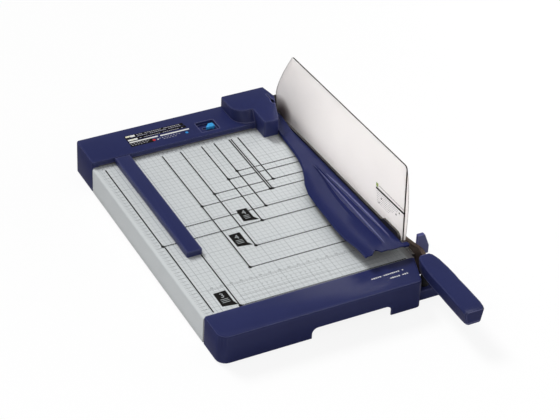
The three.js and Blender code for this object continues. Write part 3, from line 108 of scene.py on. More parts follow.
def object_points(tree, stretch=EVEN):
    place = add(tree, "ShaderNodeTexCoord")
    inputs = {"Vector": place.outputs["Object"], "Scale": stretch}
    return add(tree, "ShaderNodeMapping", inputs).outputs["Vector"]


def noise(tree, points, scale, detail=3.0, rough=0.55):
    inputs = {"Vector": points, "Scale": scale, "Detail": detail, "Roughness": rough}
    return add(tree, "ShaderNodeTexNoise", inputs).outputs["Fac"]


def spread(tree, value, low, high, start=0.3, end=0.7):
    """The value's stretch from start to end, laid over low to high."""
    inputs = {
        "Value": value,
        "From Min": start,
        "From Max": end,
        "To Min": low,
        "To Max": high,
    }
    return add(tree, "ShaderNodeMapRange", inputs).outputs["Result"]


def math_node(tree, operation, first, second=0.0):
    return add(tree, "ShaderNodeMath", {0: first, 1: second}, operation=operation).outputs[0]


def mix_colours(tree, share, first, second):
    inputs = {0: share, 6: first, 7: second}
    return add(tree, "ShaderNodeMix", inputs, data_type="RGBA").outputs[2]


def mix_shaders(tree, share, first, second):
    return add(tree, "ShaderNodeMixShader", {0: share, 1: first, 2: second}).outputs[0]


def diffuse(tree, colour):
    return add(tree, "ShaderNodeBsdfDiffuse", {"Color": rgba(colour)}).outputs[0]


def edge_share(tree, reach, amount):
    """The amount at the edges, falling to nothing inside the reach."""
    inputs = {"Radius": reach}
    rounded = add(tree, "ShaderNodeBevel", inputs, samples=NODE_SAMPLES).outputs["Normal"]
    flat = add(tree, "ShaderNodeNewGeometry").outputs["True Normal"]
    match = add(tree, "ShaderNodeVectorMath", {0: rounded, 1: flat}, operation="DOT_PRODUCT")
    return spread(tree, match.outputs["Value"], amount, 0.0, *EDGE_MATCH)


# Finishes: two shades, a range of roughness, and the size and height of the grain
PLASTIC_ROUGH = (0.28, 0.34)
PLASTIC_GRAIN = (1500.0, 0.00004)
INK_ROUGH = (0.42, 0.52)
INK_GRAIN = (900.0, 0.00001)

# Painted shade in a crevice: reach, colour and amount; painted highlight on edges: reach, colour and
# amount
FINISHES = {
    "navy_plastic": {
        "shades": ((0.0225, 0.0280, 0.105), (0.0280, 0.0345, 0.126)),
        "rough": PLASTIC_ROUGH,
        "grain": PLASTIC_GRAIN,
        "specular": 0.30,
        # Painted highlight along the edges
        "edges": (0.0045, (0.155, 0.160, 0.310), 0.90),
    },
    # Painted shade: a darker copy of the navy plastic for the clamp, whose faces tilt away from the
    # light
    "clamp_shaded_plastic": {
        "shades": ((0.0150, 0.0195, 0.086), (0.0190, 0.0245, 0.102)),
        "rough": PLASTIC_ROUGH,
        "grain": PLASTIC_GRAIN,
        "specular": 0.14,
    },
    # Painted light: a lighter copy of the navy plastic for the finger guard, whose front catches
    # more light
    "guard_lit_plastic": {
        "shades": ((0.066, 0.073, 0.215), (0.078, 0.085, 0.245)),
        "rough": PLASTIC_ROUGH,
        "grain": PLASTIC_GRAIN,
        "specular": 0.35,
        # Painted highlight along the edges
        "edges": (0.0036, (0.170, 0.175, 0.320), 0.75),
    },
    # Painted highlight: a lighter navy for the ridges on the clamp's beads
    "ridge_highlight_plastic": {
        "shades": ((0.095, 0.098, 0.235), (0.125, 0.128, 0.280)),
        "rough": PLASTIC_ROUGH,
        "grain": (1500.0, 0.00003),
    },
    "painted_bed": {
        "shades": ((0.685, 0.716, 0.728), (0.717, 0.748, 0.760)),
        "rough": (0.36, 0.48),
        "grain": (420.0, 0.00003),
        "specular": 0.30,
        # Painted shade where other pieces stand close
        "crevice": (0.050, (0.075, 0.058, 0.045), 0.90),
    },
    "zinc_steel": {
        # Zinc colour, painted darker and warmer as shade for the clamp's shadow and dark reflections
        "shades": ((0.075, 0.064, 0.056), (0.130, 0.114, 0.102)),
        "rough": (0.36, 0.52),
        "grain": (260.0, 0.00003),
        "metal": 1.0,
        # Painted shade where other pieces stand close
        "crevice": (0.045, (0.050, 0.040, 0.033), 0.85),
    },
    "blade_steel": {
        "shades": ((0.44, 0.45, 0.46), (0.58, 0.59, 0.60)),
        "rough": (0.29, 0.38),
        "grain": (520.0, 0.00003),
        "stretch": (1.0, 0.03, 1.0),
        "metal": 1.0,
    },
    "lever_steel": {
        "shades": ((0.105, 0.074, 0.060), (0.160, 0.116, 0.095)),
        "rough": (0.44, 0.58),
        "grain": (420.0, 0.00004),
        "stretch": (1.0, 0.05, 1.0),
        "metal": 0.75,
    },
    "screw_steel": {
        "shades": ((0.52, 0.53, 0.54), (0.64, 0.65, 0.66)),
        "rough": (0.16, 0.26),
        "grain": (900.0, 0.00002),
        "metal": 1.0,
    },
    "dark_steel": {
        "shades": ((0.018, 0.016, 0.015), (0.030, 0.026, 0.023)),
        "rough": (0.38, 0.52),
        "grain": (700.0, 0.00004),
    },
    "blue_plastic": {
        "shades": ((0.045, 0.400, 0.860), (0.060, 0.450, 0.920)),
        "rough": (0.28, 0.38),
        "grain": (1200.0, 0.00003),
    },
    "rubber": {
        "shades": ((0.010, 0.010, 0.011), (0.020, 0.020, 0.021)),
        "rough": (0.72, 0.86),
        "grain": (900.0, 0.00010),
    },
    "black_ink": {
        "shades": ((0.008, 0.007, 0.007), (0.014, 0.013, 0.012)),
        "rough": (0.55, 0.65),
        "grain": INK_GRAIN,
        "specular": 0.15,
    },
}

INK_SHADES = {
    "grid_ink": ((0.38, 0.41, 0.42), (0.45, 0.48, 0.49)),
    "grey_ink": ((0.10, 0.11, 0.115), (0.15, 0.16, 0.165)),
    "white_ink": ((0.84, 0.84, 0.82), (0.90, 0.90, 0.88)),
    "pale_ink": ((0.48, 0.48, 0.54), (0.58, 0.58, 0.64)),
    "cream_ink": ((0.86, 0.85, 0.62), (0.92, 0.91, 0.70)),
    "lime_ink": ((0.42, 0.56, 0.10), (0.48, 0.62, 0.14)),
    "red_ink": ((0.50, 0.018, 0.016), (0.58, 0.030, 0.026)),
    "blue_ink": ((0.030, 0.280, 0.700), (0.040, 0.320, 0.780)),
}

for name, shades in INK_SHADES.items():
    FINISHES[name] = {"shades": shades, "rough": INK_ROUGH, "grain": INK_GRAIN}

SOFT_SCALE = 9.0
SMUDGE_SCALE = 34.0
SMUDGE_DETAIL = 5.0

# The sum of two noises, and the open share of a crevice from fully to not at all darkened by painted
# shade
SUM_RANGE = (0.7, 1.3)
OPEN_RANGE = (0.08, 0.66)


def crevice_painted_shade(tree, colour, reach, shade_colour, amount):
    """Painted shade: a darker colour where other pieces stand close."""
    inputs = {"Distance": reach}
    light = add(tree, "ShaderNodeAmbientOcclusion", inputs, samples=NODE_SAMPLES).outputs["AO"]
    covered = spread(tree, light, amount, 0.0, *OPEN_RANGE)
    return mix_colours(tree, covered, colour, rgba(shade_colour))


def painted_edge_highlight(tree, colour, reach, highlight_colour, amount):
    """Painted highlight: a lighter colour along the edges."""
    return mix_colours(tree, edge_share(tree, reach, amount), colour, rgba(highlight_colour))


def opaque(
    name,
    shades,
    rough,
    grain,
    stretch=EVEN,
    metal=0.0,
    specular=0.5,
    crevice=None,
    edges=None,
):
    material = empty_material(name)
    tree = material.node_tree
    even = object_points(tree)
    brushed = object_points(tree, stretch)
    size, height = grain
    fine = noise(tree, brushed, size)
    soft = noise(tree, even, SOFT_SCALE)
    smudges = noise(tree, even, SMUDGE_SCALE, SMUDGE_DETAIL)
    share = spread(tree, math_node(tree, "ADD", soft, fine), 0.0, 1.0, *SUM_RANGE)
    colour = mix_colours(tree, share, rgba(shades[0]), rgba(shades[1]))
    # Painted shade in crevices
    if crevice:
        colour = crevice_painted_shade(tree, colour, *crevice)
    # Painted highlight along the edges
    if edges:
        colour = painted_edge_highlight(tree, colour, *edges)
    wear = math_node(tree, "ADD", smudges, fine)
    bump = add(tree, "ShaderNodeBump", {"Height": fine, "Distance": height})
    surface = add(
        tree,
        "ShaderNodeBsdfPrincipled",
        {
            "Base Color": colour,
            "Roughness": spread(tree, wear, *rough, *SUM_RANGE),
            "Metallic": metal,
            "Specular IOR Level": specular,
            "Normal": bump.outputs["Normal"],
        },
    )
    add(tree, "ShaderNodeOutputMaterial", {"Surface": surface.outputs["BSDF"]})
    return material


# Clear guard: hazy and milky faces, edges painted dark as shade, painted shade beside the pivot
CLEAR_SHADE = (0.955, 0.932, 0.920)
CLEAR_SMUDGE = (0.928, 0.902, 0.890)
CLEAR_ROUGH = (0.31, 0.40)
CLEAR_IOR = 1.46
MILK_SHADE = (0.97, 0.945, 0.935)
MILK_MATT = 0.5
# Painted shade: the dark pivot parts behind the guard, seen through it
PIVOT_PAINTED_SHADE = (0.075, 0.052, 0.056)
# Painted shade on the guard's edges and past its right face
SHEET_EDGE_PAINTED_SHADE = (0.045, 0.036, 0.032)
RIM_REACH = 0.0016
RIM_SHARE = 0.75
SIDE_FACING = 0.5

# Shares at the near and the far end of a fade, which is in metres from a place in the drawing
MILK_SHARES = (0.10, 0.38)
MILK_FADE = (0.045, 0.140)
MILK_PLACE = (-13.0, -8.0, 15.0)
PIVOT_SHADE_SHARES = (0.82, 0.0)
PIVOT_SHADE_FADE = (0.008, 0.046)
# A broad, faint painted shade around the pivot
BROAD_SHADE_SHARES = (0.12, 0.0)
BROAD_SHADE_FADE = (0.03, 0.24)
PIVOT_SHADE_PLACE = (-15.0, -1.0, 17.0)

# The guard's left face, and a plane just past its right face
SHEET_LEFT = -15.3
SHEET_PAST = -12.4


def near_share(tree, points, place, shares, fade):
    """A share that changes with the distance from a place."""
    inputs = {0: points, 1: at(*place)}
    away = add(tree, "ShaderNodeVectorMath", inputs, operation="DISTANCE").outputs["Value"]
    return spread(tree, away, *shares, *fade)


def hazy_glass(tree, points):
    """Clear plastic that grows milky away from the pivot."""
    smudges = noise(tree, points, SMUDGE_SCALE, SMUDGE_DETAIL)
    haze = spread(tree, noise(tree, points, SOFT_SCALE), 0.0, 1.0)
    glass = add(
        tree,
        "ShaderNodeBsdfPrincipled",
        {
            "Base Color": mix_colours(tree, haze, rgba(CLEAR_SHADE), rgba(CLEAR_SMUDGE)),
            "Roughness": spread(tree, smudges, *CLEAR_ROUGH),
            "Transmission Weight": 1.0,
            "IOR": CLEAR_IOR,
        },
    )
    through = add(tree, "ShaderNodeBsdfTranslucent", {"Color": rgba(MILK_SHADE)})
    milk = mix_shaders(tree, MILK_MATT, through.outputs[0], diffuse(tree, MILK_SHADE))
    far = near_share(tree, points, MILK_PLACE, MILK_SHARES, MILK_FADE)
    return mix_shaders(tree, far, glass.outputs[0], milk)


def sheet_edges(tree, points):
    """Painted shade: one on the guard's narrow faces and past its right face, and less along its
    rim.
    """
    place = add(tree, "ShaderNodeSeparateXYZ", {0: points}).outputs["X"]
    normal = add(tree, "ShaderNodeTexCoord").outputs["Normal"]
    sideways = add(tree, "ShaderNodeSeparateXYZ", {0: normal}).outputs["X"]
    facing = math_node(tree, "ABSOLUTE", sideways)
    past = at(SHEET_PAST, 0.0).x
    inside = math_node(tree, "LESS_THAN", place, past)
    beyond = math_node(tree, "GREATER_THAN", place, past)
    narrow = math_node(tree, "MULTIPLY", math_node(tree, "LESS_THAN", facing, SIDE_FACING), inside)
    outer = math_node(tree, "MULTIPLY", math_node(tree, "GREATER_THAN", facing, SIDE_FACING), beyond)
    faces = math_node(tree, "ADD", narrow, outer)
    return math_node(tree, "MAXIMUM", faces, edge_share(tree, RIM_REACH, RIM_SHARE))


def clear(name):
    material = empty_material(name)
    tree = material.node_tree
    points = object_points(tree)
    hazy = hazy_glass(tree, points)
    core = near_share(tree, points, PIVOT_SHADE_PLACE, PIVOT_SHADE_SHARES, PIVOT_SHADE_FADE)
    broad_shade = near_share(tree, points, PIVOT_SHADE_PLACE, BROAD_SHADE_SHARES, BROAD_SHADE_FADE)
    # Painted shade beside the pivot
    pivot_shade = math_node(tree, "MAXIMUM", core, broad_shade)
    body = mix_shaders(tree, pivot_shade, hazy, diffuse(tree, PIVOT_PAINTED_SHADE))
    edged = mix_shaders(tree, sheet_edges(tree, points), body, diffuse(tree, SHEET_EDGE_PAINTED_SHADE))
    passing = add(tree, "ShaderNodeBsdfTransparent", {"Color": rgba(CLEAR_SHADE)})
    rays = add(tree, "ShaderNodeLightPath").outputs
    surface = mix_shaders(tree, rays["Is Shadow Ray"], edged, passing.outputs[0])
    add(tree, "ShaderNodeOutputMaterial", {"Surface": surface})
    return material


materials = {name: opaque(name, **facts) for name, facts in FINISHES.items()}
materials["clear_plastic"] = clear("clear_plastic")


def paint(piece, finish):
    piece.data.materials.clear()
    piece.data.materials.append(materials[finish])


# Rounded edges and smooth curves on the CAD pieces
SMOOTH_ANGLE = math.radians(33.0)
EDGE_ANGLE = math.radians(40.0)
EDGE_SEGMENTS = 2
WELD_DISTANCE = 0.000002
EDGE_ROUNDS = {
    "navy_plastic": 0.0008,
    "clamp_shaded_plastic": 0.0007,
    "guard_lit_plastic": 0.0006,
    "painted_bed": 0.0004,
    "zinc_steel": 0.0002,
    "blade_steel": 0.00008,
    "lever_steel": 0.0002,
    "screw_steel": 0.00015,
    "dark_steel": 0.0002,
    "clear_plastic": 0.0003,
    "blue_plastic": 0.0004,
    "rubber": 0.0004,
}
# The clamp gets a darker painted-shade copy of the navy plastic, the finger guard a lighter
# painted-lit one
SPECIAL_FINISHES = {"paper_clamp": "clamp_shaded_plastic", "finger_guard": "guard_lit_plastic"}


def smoothing_group():
    """Smooth faces, with edges past the angle kept sharp."""
    group = bpy.data.node_groups.new("smooth_by_angle", "GeometryNodeTree")
    shape = "NodeSocketGeometry"
    group.interface.new_socket("Geometry", in_out="INPUT", socket_type=shape)
    group.interface.new_socket("Geometry", in_out="OUTPUT", socket_type=shape)
    start = add(group, "NodeGroupInput")
    inputs = {0: start.outputs[0], "Name": "custom_normal"}
    plain = add(group, "GeometryNodeRemoveAttribute", inputs)
    angle = add(group, "GeometryNodeInputMeshEdgeAngle")
    sharp = add(
        group,
        "FunctionNodeCompare",
        {0: angle.outputs["Unsigned Angle"], 1: SMOOTH_ANGLE},
        data_type="FLOAT",
        operation="GREATER_THAN",
    )
    inputs = {0: plain.outputs[0], "Shade Smooth": True}
    faces = add(group, "GeometryNodeSetShadeSmooth", inputs, domain="FACE")
    inputs = {0: faces.outputs[0], "Selection": sharp.outputs[0], "Shade Smooth": False}
    edges = add(group, "GeometryNodeSetShadeSmooth", inputs, domain="EDGE")
    add(group, "NodeGroupOutput", {0: edges.outputs[0]})
    return group


smooth = smoothing_group()


def dress(node, finish):
    """A CAD piece's finish, smooth curves and rounded edges."""
    paint(node, finish)
    weld = node.modifiers.new("weld", "WELD")
    weld.merge_threshold = WELD_DISTANCE
    shading = node.modifiers.new("smooth", "NODES")
    shading.node_group = smooth
    bevel = node.modifiers.new("edges", "BEVEL")
    bevel.width = EDGE_ROUNDS[finish]
    bevel.segments = EDGE_SEGMENTS
    bevel.limit_method = "ANGLE"
    bevel.angle_limit = EDGE_ANGLE
    bevel.harden_normals = True
    bevel.miter_outer = "MITER_ARC"
    bevel.use_clamp_overlap = True


# Heights on the CAD pieces, read while they are still undressed
PROBE_HEIGHT = 300.0
nodes = frame["nodes"]


def height_on(node, x, y):
    """Height of a CAD piece's top above the drawing's zero point, in millimetres."""
    turn = node.matrix_world.inverted()
    start = turn @ at(x, y, PROBE_HEIGHT)
    hit, place, _, _ = node.ray_cast(start, turn.to_3x3() @ Vector((0.0, 0.0, -1.0)))
    return (node.matrix_world @ place - DATUM).z / MM if hit else 0.0


# Both ends of each row of bars on the front cap, as places in x and y
CAP_ROWS = (((-110.2, -550.3), (-37.5, -548.0)), ((-76.2, -561.4), (-36.5, -560.5)))
cap_heights = [[height_on(nodes["front_cap"], *end) for end in row] for row in CAP_ROWS]

# Ridges on the clamp's beads, painted lighter as a highlight, as places in x and y from the rear to
# the front
RIDGES = (
    ((-43.5, -200.0), (-46.0, -302.0), (-49.0, -404.0), (-52.3, -498.0)),
    ((-36.0, -226.0), (-32.5, -310.0), (-31.7, -400.0), (-33.6, -484.0)),
)
RIDGE_STEPS = 24
RIDGE_HALF = 1.8
RIDGE_RISE = 0.9
RIDGE_SINK = 0.4
RIDGE_SIDES = 8

# Steps over which a ridge swells at its rear and front ends, and how far in its blunt tips start
RIDGE_REAR_STEPS = 5.0
RIDGE_FRONT_STEPS = 4.0
RIDGE_TIP_STEPS = 0.6


def smooth_path(stops, steps):
    """Even points on a curve through the stops."""
    points = []
    for step in range(steps + 1):
        t = (len(stops) - 1) * step / steps
        total = Vector((0.0, 0.0))
        for here, stop in enumerate(stops):
            share = 1.0
            for other in range(len(stops)):
                if other != here:
                    share *= (t - other) / (here - other)
            total += Vector(stop) * share
        points.append(total)
    return points


def path_on(node, stops):
    return [(x, y, height_on(node, x, y)) for x, y in smooth_path(stops, RIDGE_STEPS)]


ridge_paths = [path_on(nodes["paper_clamp"], stops) for stops in RIDGES]


def painted_piece(name, corners, faces, finish):
    mesh = bpy.data.meshes.new(name)
    mesh.from_pydata(corners, [], faces)
    mesh.update()
    piece = bpy.data.objects.new(name, mesh)
    scene.collection.objects.link(piece)
    paint(piece, finish)
    return piece


def make_ridge(name, path):
    """A low rounded ridge along a path, closed at both ends."""
    corners = []
    faces = []
    last = len(path) - 1
    for place, (x, y, z) in enumerate(path):
        from_rear = (place + RIDGE_TIP_STEPS) / RIDGE_REAR_STEPS
        from_front = (last - place + RIDGE_TIP_STEPS) / RIDGE_FRONT_STEPS
        swell = math.sin(math.pi / 2 * min(1.0, from_rear, from_front))
        for side in range(RIDGE_SIDES):
            turn = math.pi * (side + 0.5) / RIDGE_SIDES
            out = RIDGE_HALF * swell * math.cos(turn)
            up = (RIDGE_RISE + RIDGE_SINK) * swell * math.sin(turn)
            corners.append(at(x - out, y, z - RIDGE_SINK + up))
    for place in range(last):
        near = place * RIDGE_SIDES
        far = near + RIDGE_SIDES
        for side in range(RIDGE_SIDES):
            after = (side + 1) % RIDGE_SIDES
            faces.append((near + side, near + after, far + after, far + side))
    faces.append(tuple(reversed(range(RIDGE_SIDES))))
    faces.append(tuple(range(last * RIDGE_SIDES, (last + 1) * RIDGE_SIDES)))
    # The ridge is painted lighter, as a highlight along the bead's crest
    piece = painted_piece(name, corners, faces, "ridge_highlight_plastic")
    piece.data.shade_smooth()
    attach(piece, "clamp")


# Digits of the table's numbers, as closed shapes at the size of the font
DIGIT_HEIGHT = 0.72
DIGIT_STEP = 0.62
DIGIT_DEPTH = 0.01
DIGIT_CURVE_STEPS = 3


def middle(values):
    return (max(values) + min(values)) / 2


def digit_shape(character):
    """One digit as a closed mesh, centred on zero."""
    curve = bpy.data.curves.new("digit", "FONT")
    curve.body = character
    curve.extrude = DIGIT_DEPTH
    curve.resolution_u = DIGIT_CURVE_STEPS
    letter = bpy.data.objects.new("digit", curve)
    scene.collection.objects.link(letter)
    bpy.context.view_layer.update()
    shown = letter.evaluated_get(bpy.context.evaluated_depsgraph_get())
    mesh = bpy.data.meshes.new_from_object(shown)
    points = [tuple(corner.co) for corner in mesh.vertices]
    faces = [tuple(face.vertices) for face in mesh.polygons]
    bpy.data.objects.remove(letter)
    bpy.data.meshes.remove(mesh)
    bpy.data.curves.remove(curve)
    middle_x = middle([point[0] for point in points])
    middle_y = middle([point[1] for point in points])
    return [(x - middle_x, y - middle_y, z) for x, y, z in points], faces


digits = {character: digit_shape(character) for character in "0123456789"}

# Printing, as thin closed slabs whose base and top are heights above the printed face
PRINT_BASE = 0.01
GRID_TOP = 0.02
LINE_TOP = 0.04
NUMBER_TOP = 0.05
TAG_TOP = 0.06
STACK = 0.01
DOT_SIDES = 20


class Print:
    """Gathers thin slabs that lie on one plane and makes them one piece."""

    def __init__(self, base, top, place=at):
        self.base = base
        self.top = top
        self.place = place
        self.corners = []
        self.faces = []

    def slab(self, outline, lift=0.0):
        """A closed slab over an outline given anticlockwise in millimetres."""
        count = len(outline)
        first = len(self.corners)
        for height in (self.base + lift, self.top + lift):
            self.corners += [self.place(x, y, height) for x, y in outline]
        lower = range(first, first + count)
        upper = range(first + count, first + 2 * count)
        self.faces.append(tuple(reversed(lower)))
        self.faces.append(tuple(upper))
        for here in range(count):
            after = (here + 1) % count
            self.faces.append((lower[here], lower[after], upper[after], upper[here]))

    def bar(self, left, front, right, rear, lift=0.0):
        self.slab([(left, front), (right, front), (right, rear), (left, rear)], lift)

    def across(self, y, left, right, width, lift=0.0):
        self.bar(left, y - width / 2, right, y + width / 2, lift)

    def along(self, x, front, rear, width, lift=0.0):
        self.bar(x - width / 2, front, x + width / 2, rear, lift)

    def dot(self, x, y, radius, lift=0.0, sides=DOT_SIDES):
        turns = [math.tau * step / sides for step in range(sides)]
        self.slab([(x + radius * math.cos(t), y + radius * math.sin(t)) for t in turns], lift)

    def number(self, text, x, y, height):
        """Digits centred on a point, reading from the front."""
        scale = height / DIGIT_HEIGHT
        wide = DIGIT_STEP * scale
        left = x - wide * len(text) / 2
        for place, digit in enumerate(text):
            corners, faces = digits[digit]
            first = len(self.corners)
            for cx, cy, cz in corners:
                across = left + wide * (place + 0.5) + cx * scale
                level = self.top if cz > 0 else self.base
                self.corners.append(self.place(across, y + cy * scale, level))
            self.faces += [tuple(first + corner for corner in face) for face in faces]

    def make(self, name, finish, body):
        piece = painted_piece(name, self.corners, self.faces, finish)
        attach(piece, body)


# Grid and sheet sizes on the table
GRID_STEP = 10
GRID_HEAVY_STEP = 50
GRID_LEFT = -436.0
GRID_RIGHT = -14.0
GRID_FRONT = -519.0
GRID_REAR = -8.0
FINE_LINE = 0.6
HEAVY_LINE = 1.1
SIZE_LINE = 2.7
DASH_LINE = 3.0
DASH = 4.2
DASH_STEP = 5.0
LINE_RIGHT = -16.0
LINE_REAR = -22.0
CORNER_DOT = 3.8
CORNER_DOT_SHIFT = 0.5
CORNER_DOT_SIDES = 12
CORNER_HALF = 1.4
CORNER_REACH = 6.5

# The long line at the left: its place in x, then its front and rear ends
LEFT_LINE = (-417.0, -513.0, -300.0)

# Sheet corners as x and y, which are the sizes of the sheets
PORTRAIT = (
    (-128, -182),
    (-148, -210),
    (-182, -257),
    (-210, -297),
    (-257, -364),
    (-297, -420),
    (-364, -515),
)
LANDSCAPE = ((-210, -148), (-257, -182), (-297, -210), (-364, -257), (-420, -297))
SMALL = ((-143.5, -210), (-182, -129))


def grid_line(place):
    return FINE_LINE if place % GRID_HEAVY_STEP else HEAVY_LINE


def print_grid():
    fine = Print(PRINT_BASE, GRID_TOP)
    for y in range(-GRID_STEP, int(GRID_FRONT), -GRID_STEP):
        fine.across(y, GRID_LEFT, GRID_RIGHT, grid_line(y))
    for x in range(-2 * GRID_STEP, int(GRID_LEFT), -GRID_STEP):
        fine.along(x, GRID_FRONT, GRID_REAR, grid_line(x), STACK)
    fine.make("bed_grid_lines", "grid_ink", "base")


def print_dashes(dashes, x, y):
    place = LINE_RIGHT
    while place > x:
        dashes.across(y, max(x, place - DASH), place, DASH_LINE)
        place -= DASH_STEP


def print_corner(marks, x, y):
    """A mitred angle with a dot, at one sheet corner."""
    inner = (x + CORNER_HALF, y + CORNER_HALF)
    outer = (x - CORNER_HALF, y - CORNER_HALF)
    right = x + CORNER_REACH
    rear = y + CORNER_REACH
    marks.slab([outer, (right, outer[1]), (right, inner[1]), inner])
    marks.slab([outer, inner, (inner[0], rear), (outer[0], rear)], STACK)
    dot_x = x + CORNER_DOT_SHIFT
    dot_y = y + CORNER_DOT_SHIFT
    marks.dot(dot_x, dot_y, CORNER_DOT, 2 * STACK, CORNER_DOT_SIDES)


def print_sizes():
    lines = Print(PRINT_BASE, LINE_TOP)
    dashes = Print(PRINT_BASE, LINE_TOP)
    marks = Print(PRINT_BASE, TAG_TOP)
    ends = {}
    for x, y in PORTRAIT + LANDSCAPE + SMALL:
        ends[x] = min(y, ends.get(x, 0))
        print_dashes(dashes, x, y)
        print_corner(marks, x, y)
    for x, y in ends.items():
        lines.along(x, y, LINE_REAR, SIZE_LINE, STACK)
    lines.along(*LEFT_LINE, SIZE_LINE, STACK)
    lines.make("bed_size_lines", "black_ink", "base")
    dashes.make("bed_size_cross_lines", "black_ink", "base")
    marks.make("bed_size_corners", "black_ink", "base")


# Scales on the table
TICK_STEP = 5
THIN_TICK = 0.4
TICK = 0.5
REAR_PLACES = range(-20, -430, -GRID_STEP)
LEFT_STEPS = range(2, 103)
FRONT_LEFT = -400
FRONT_COUNT = 75
FRONT_PLACES = range(-390, -30, 2 * GRID_STEP)
FIELD_LEFT = -338
FIELD_COUNT = 17

# Ticks have a start, a short end and a long end
REAR_TICKS = (-8.0, -11.5, -13.5)
LEFT_TICKS = (-435.0, -432.0, -429.0)
FRONT_TICKS = (-453.0, -455.0, -457.0)

# Numbers have a place in y, or in x at the left, and a height; the rear ones also a shift in x
REAR_NUMBERS = (-3.4, -16.5, 3.0)
LEFT_NUMBERS = (-426.0, 2.6)
FRONT_NUMBERS = (-447.5, 4.2)
FIELD_NUMBERS = (-473.0, 3.4)

# The rule and the rows are y, left and right; the ends x, front and rear; dashes y and half a length
FRONT_RULE = (-453.0, -404.0, -30.0)
FIELD_ROWS = (
    (-460.0, -350.0, -168.0),
    (-487.0, -350.0, -168.0),
    (-491.0, -352.0, -60.0),
    (-503.0, -352.0, -60.0),
)
FIELD_ENDS = ((-350.0, -503.0, -460.0), (-168.0, -503.0, -460.0), (-260.0, -491.0, -487.0))
FIELD_DASHES = (-480.0, 3.0)


def print_rear_scale(ticks, numbers):
    start, short, long = REAR_TICKS
    shift, y, height = REAR_NUMBERS
    for x in REAR_PLACES:
        ticks.along(x, short if x % GRID_HEAVY_STEP else long, start, TICK)
        numbers.number(str(-x // GRID_STEP), x + shift, y, height)


def print_left_scale(ticks, numbers):
    start, short, long = LEFT_TICKS
    x, height = LEFT_NUMBERS
    for step in LEFT_STEPS:
        y = -TICK_STEP * step
        ticks.across(y, start, short if step % 2 else long, THIN_TICK)
        if step % 2 == 0:
            numbers.number(str(-y // GRID_STEP), x, y, height)


def print_front_scale(ticks, numbers):
    start, short, long = FRONT_TICKS
    y, height = FRONT_NUMBERS
    ticks.across(*FRONT_RULE, TICK, STACK)
    for step in range(FRONT_COUNT):
        x = FRONT_LEFT + TICK_STEP * step
        ticks.along(x, short if step % 2 else long, start, THIN_TICK)
    for x in FRONT_PLACES:
        numbers.number(str(-x // GRID_STEP), x, y, height)


def print_field(ticks, numbers):
    """The ruled field near the front, with a row of figures."""
    for row in FIELD_ROWS:
        ticks.across(*row, THIN_TICK, STACK)
    for end in FIELD_ENDS:
        ticks.along(*end, THIN_TICK)
    number_y, height = FIELD_NUMBERS
    dash_y, half = FIELD_DASHES
    for step in range(FIELD_COUNT):
        x = FIELD_LEFT + GRID_STEP * step
        numbers.number(str(step % 10), x, number_y, height)
        ticks.across(dash_y, x - half, x + half, TICK)


def print_scales():
    ticks = Print(PRINT_BASE, LINE_TOP)
    numbers = Print(PRINT_BASE, NUMBER_TOP)
    print_rear_scale(ticks, numbers)
    print_left_scale(ticks, numbers)
    print_front_scale(ticks, numbers)
    print_field(ticks, numbers)
    ticks.make("bed_ticks", "grey_ink", "base")
    numbers.make("bed_numerals", "grey_ink", "base")


# Dark tags on the table: numeral, rear left, rear right, notch, tail and front left
TAGS = (
    ("4", (-242.3, -247.6), (-220.7, -248.1), (-220.0, -279.3), (-212.5, -290.5), (-244.3, -285.9)),
    ("4", (-291.1, -314.0), (-267.0, -313.2), (-267.0, -348.0), (-260.0, -358.5), (-290.7, -353.5)),
    ("3", (-395.0, -463.9), (-369.4, -463.0), (-369.4, -497.5), (-365.0, -509.0), (-395.3, -504.6)),
)
TAG_DIGIT_DROP = 11.0
TAG_DIGIT_HEIGHT = 13.0
TAG_ROW_COUNT = 3
TAG_ROW_DROP = 22.0
TAG_ROW_STEP = 4.5
TAG_ROW_INSET = 5.0
TAG_ROW = 1.5


def print_tags():
    tags = Print(PRINT_BASE, TAG_TOP)
    signs = Print(TAG_TOP + PRINT_BASE, TAG_TOP + LINE_TOP)
    for text, rear_left, rear_right, notch, tail, front_left in TAGS:
        tags.slab([front_left, tail, notch, rear_right, rear_left])
        left, rear = rear_left
        right = rear_right[0]
        signs.number(text, (left + right) / 2, rear - TAG_DIGIT_DROP, TAG_DIGIT_HEIGHT)
        for row in range(TAG_ROW_COUNT):
            y = rear - TAG_ROW_DROP - TAG_ROW_STEP * row
            signs.across(y, left + TAG_ROW_INSET, right - TAG_ROW_INSET, TAG_ROW)
    tags.make("bed_tags", "black_ink", "base")
    signs.make("bed_tag_marks", "grid_ink", "base")


# Plain marks on the head: boxes as left, front, right and rear
HEAD_TOP = 13.0
BACKING_BOXES = (
    (-347.0, 45.0, -218.0, 54.5),
    (-347.0, 36.0, -216.0, 44.0),
    (-347.0, 14.5, -298.0, 34.5),
)
CREAM_BOX = (-345.0, 48.5, -336.0, 53.5)
CREAM_BOX_ON_WHITE = (-339.0, 36.0, -331.0, 39.5)
WHITE_BOXES = ((-335.5, 47.0, -325.0, 53.5), (-345.0, 35.0, -324.0, 40.5))

# Rows and stripes as y, left and right; the broken rows also have a width
BROKEN_ROWS = (
    (51.5, -321.0, -222.0, 1.6),
    (46.5, -321.0, -222.0, 1.4),
    (38.5, -319.0, -222.0, 1.4),
)
BROKEN_STEP = 4.6
BROKEN_SHARE = 0.78
BROKEN_TURN = 7
BROKEN_EVERY = 9
STRIPES = ((30.0, -345.0, -283.0), (29.0, -278.0, -214.0))
STRIPE = 3.9
DASH_ROWS = (
    (24.5, -345.0, -300.0),
    (19.5, -344.0, -304.0),
    (21.5, -284.0, -230.0),
    (16.5, -276.0, -240.0),
)
DASH_ROW_STEP = 6.2
DASH_ROW_SHARE = 0.6
DASH_ROW = 1.3

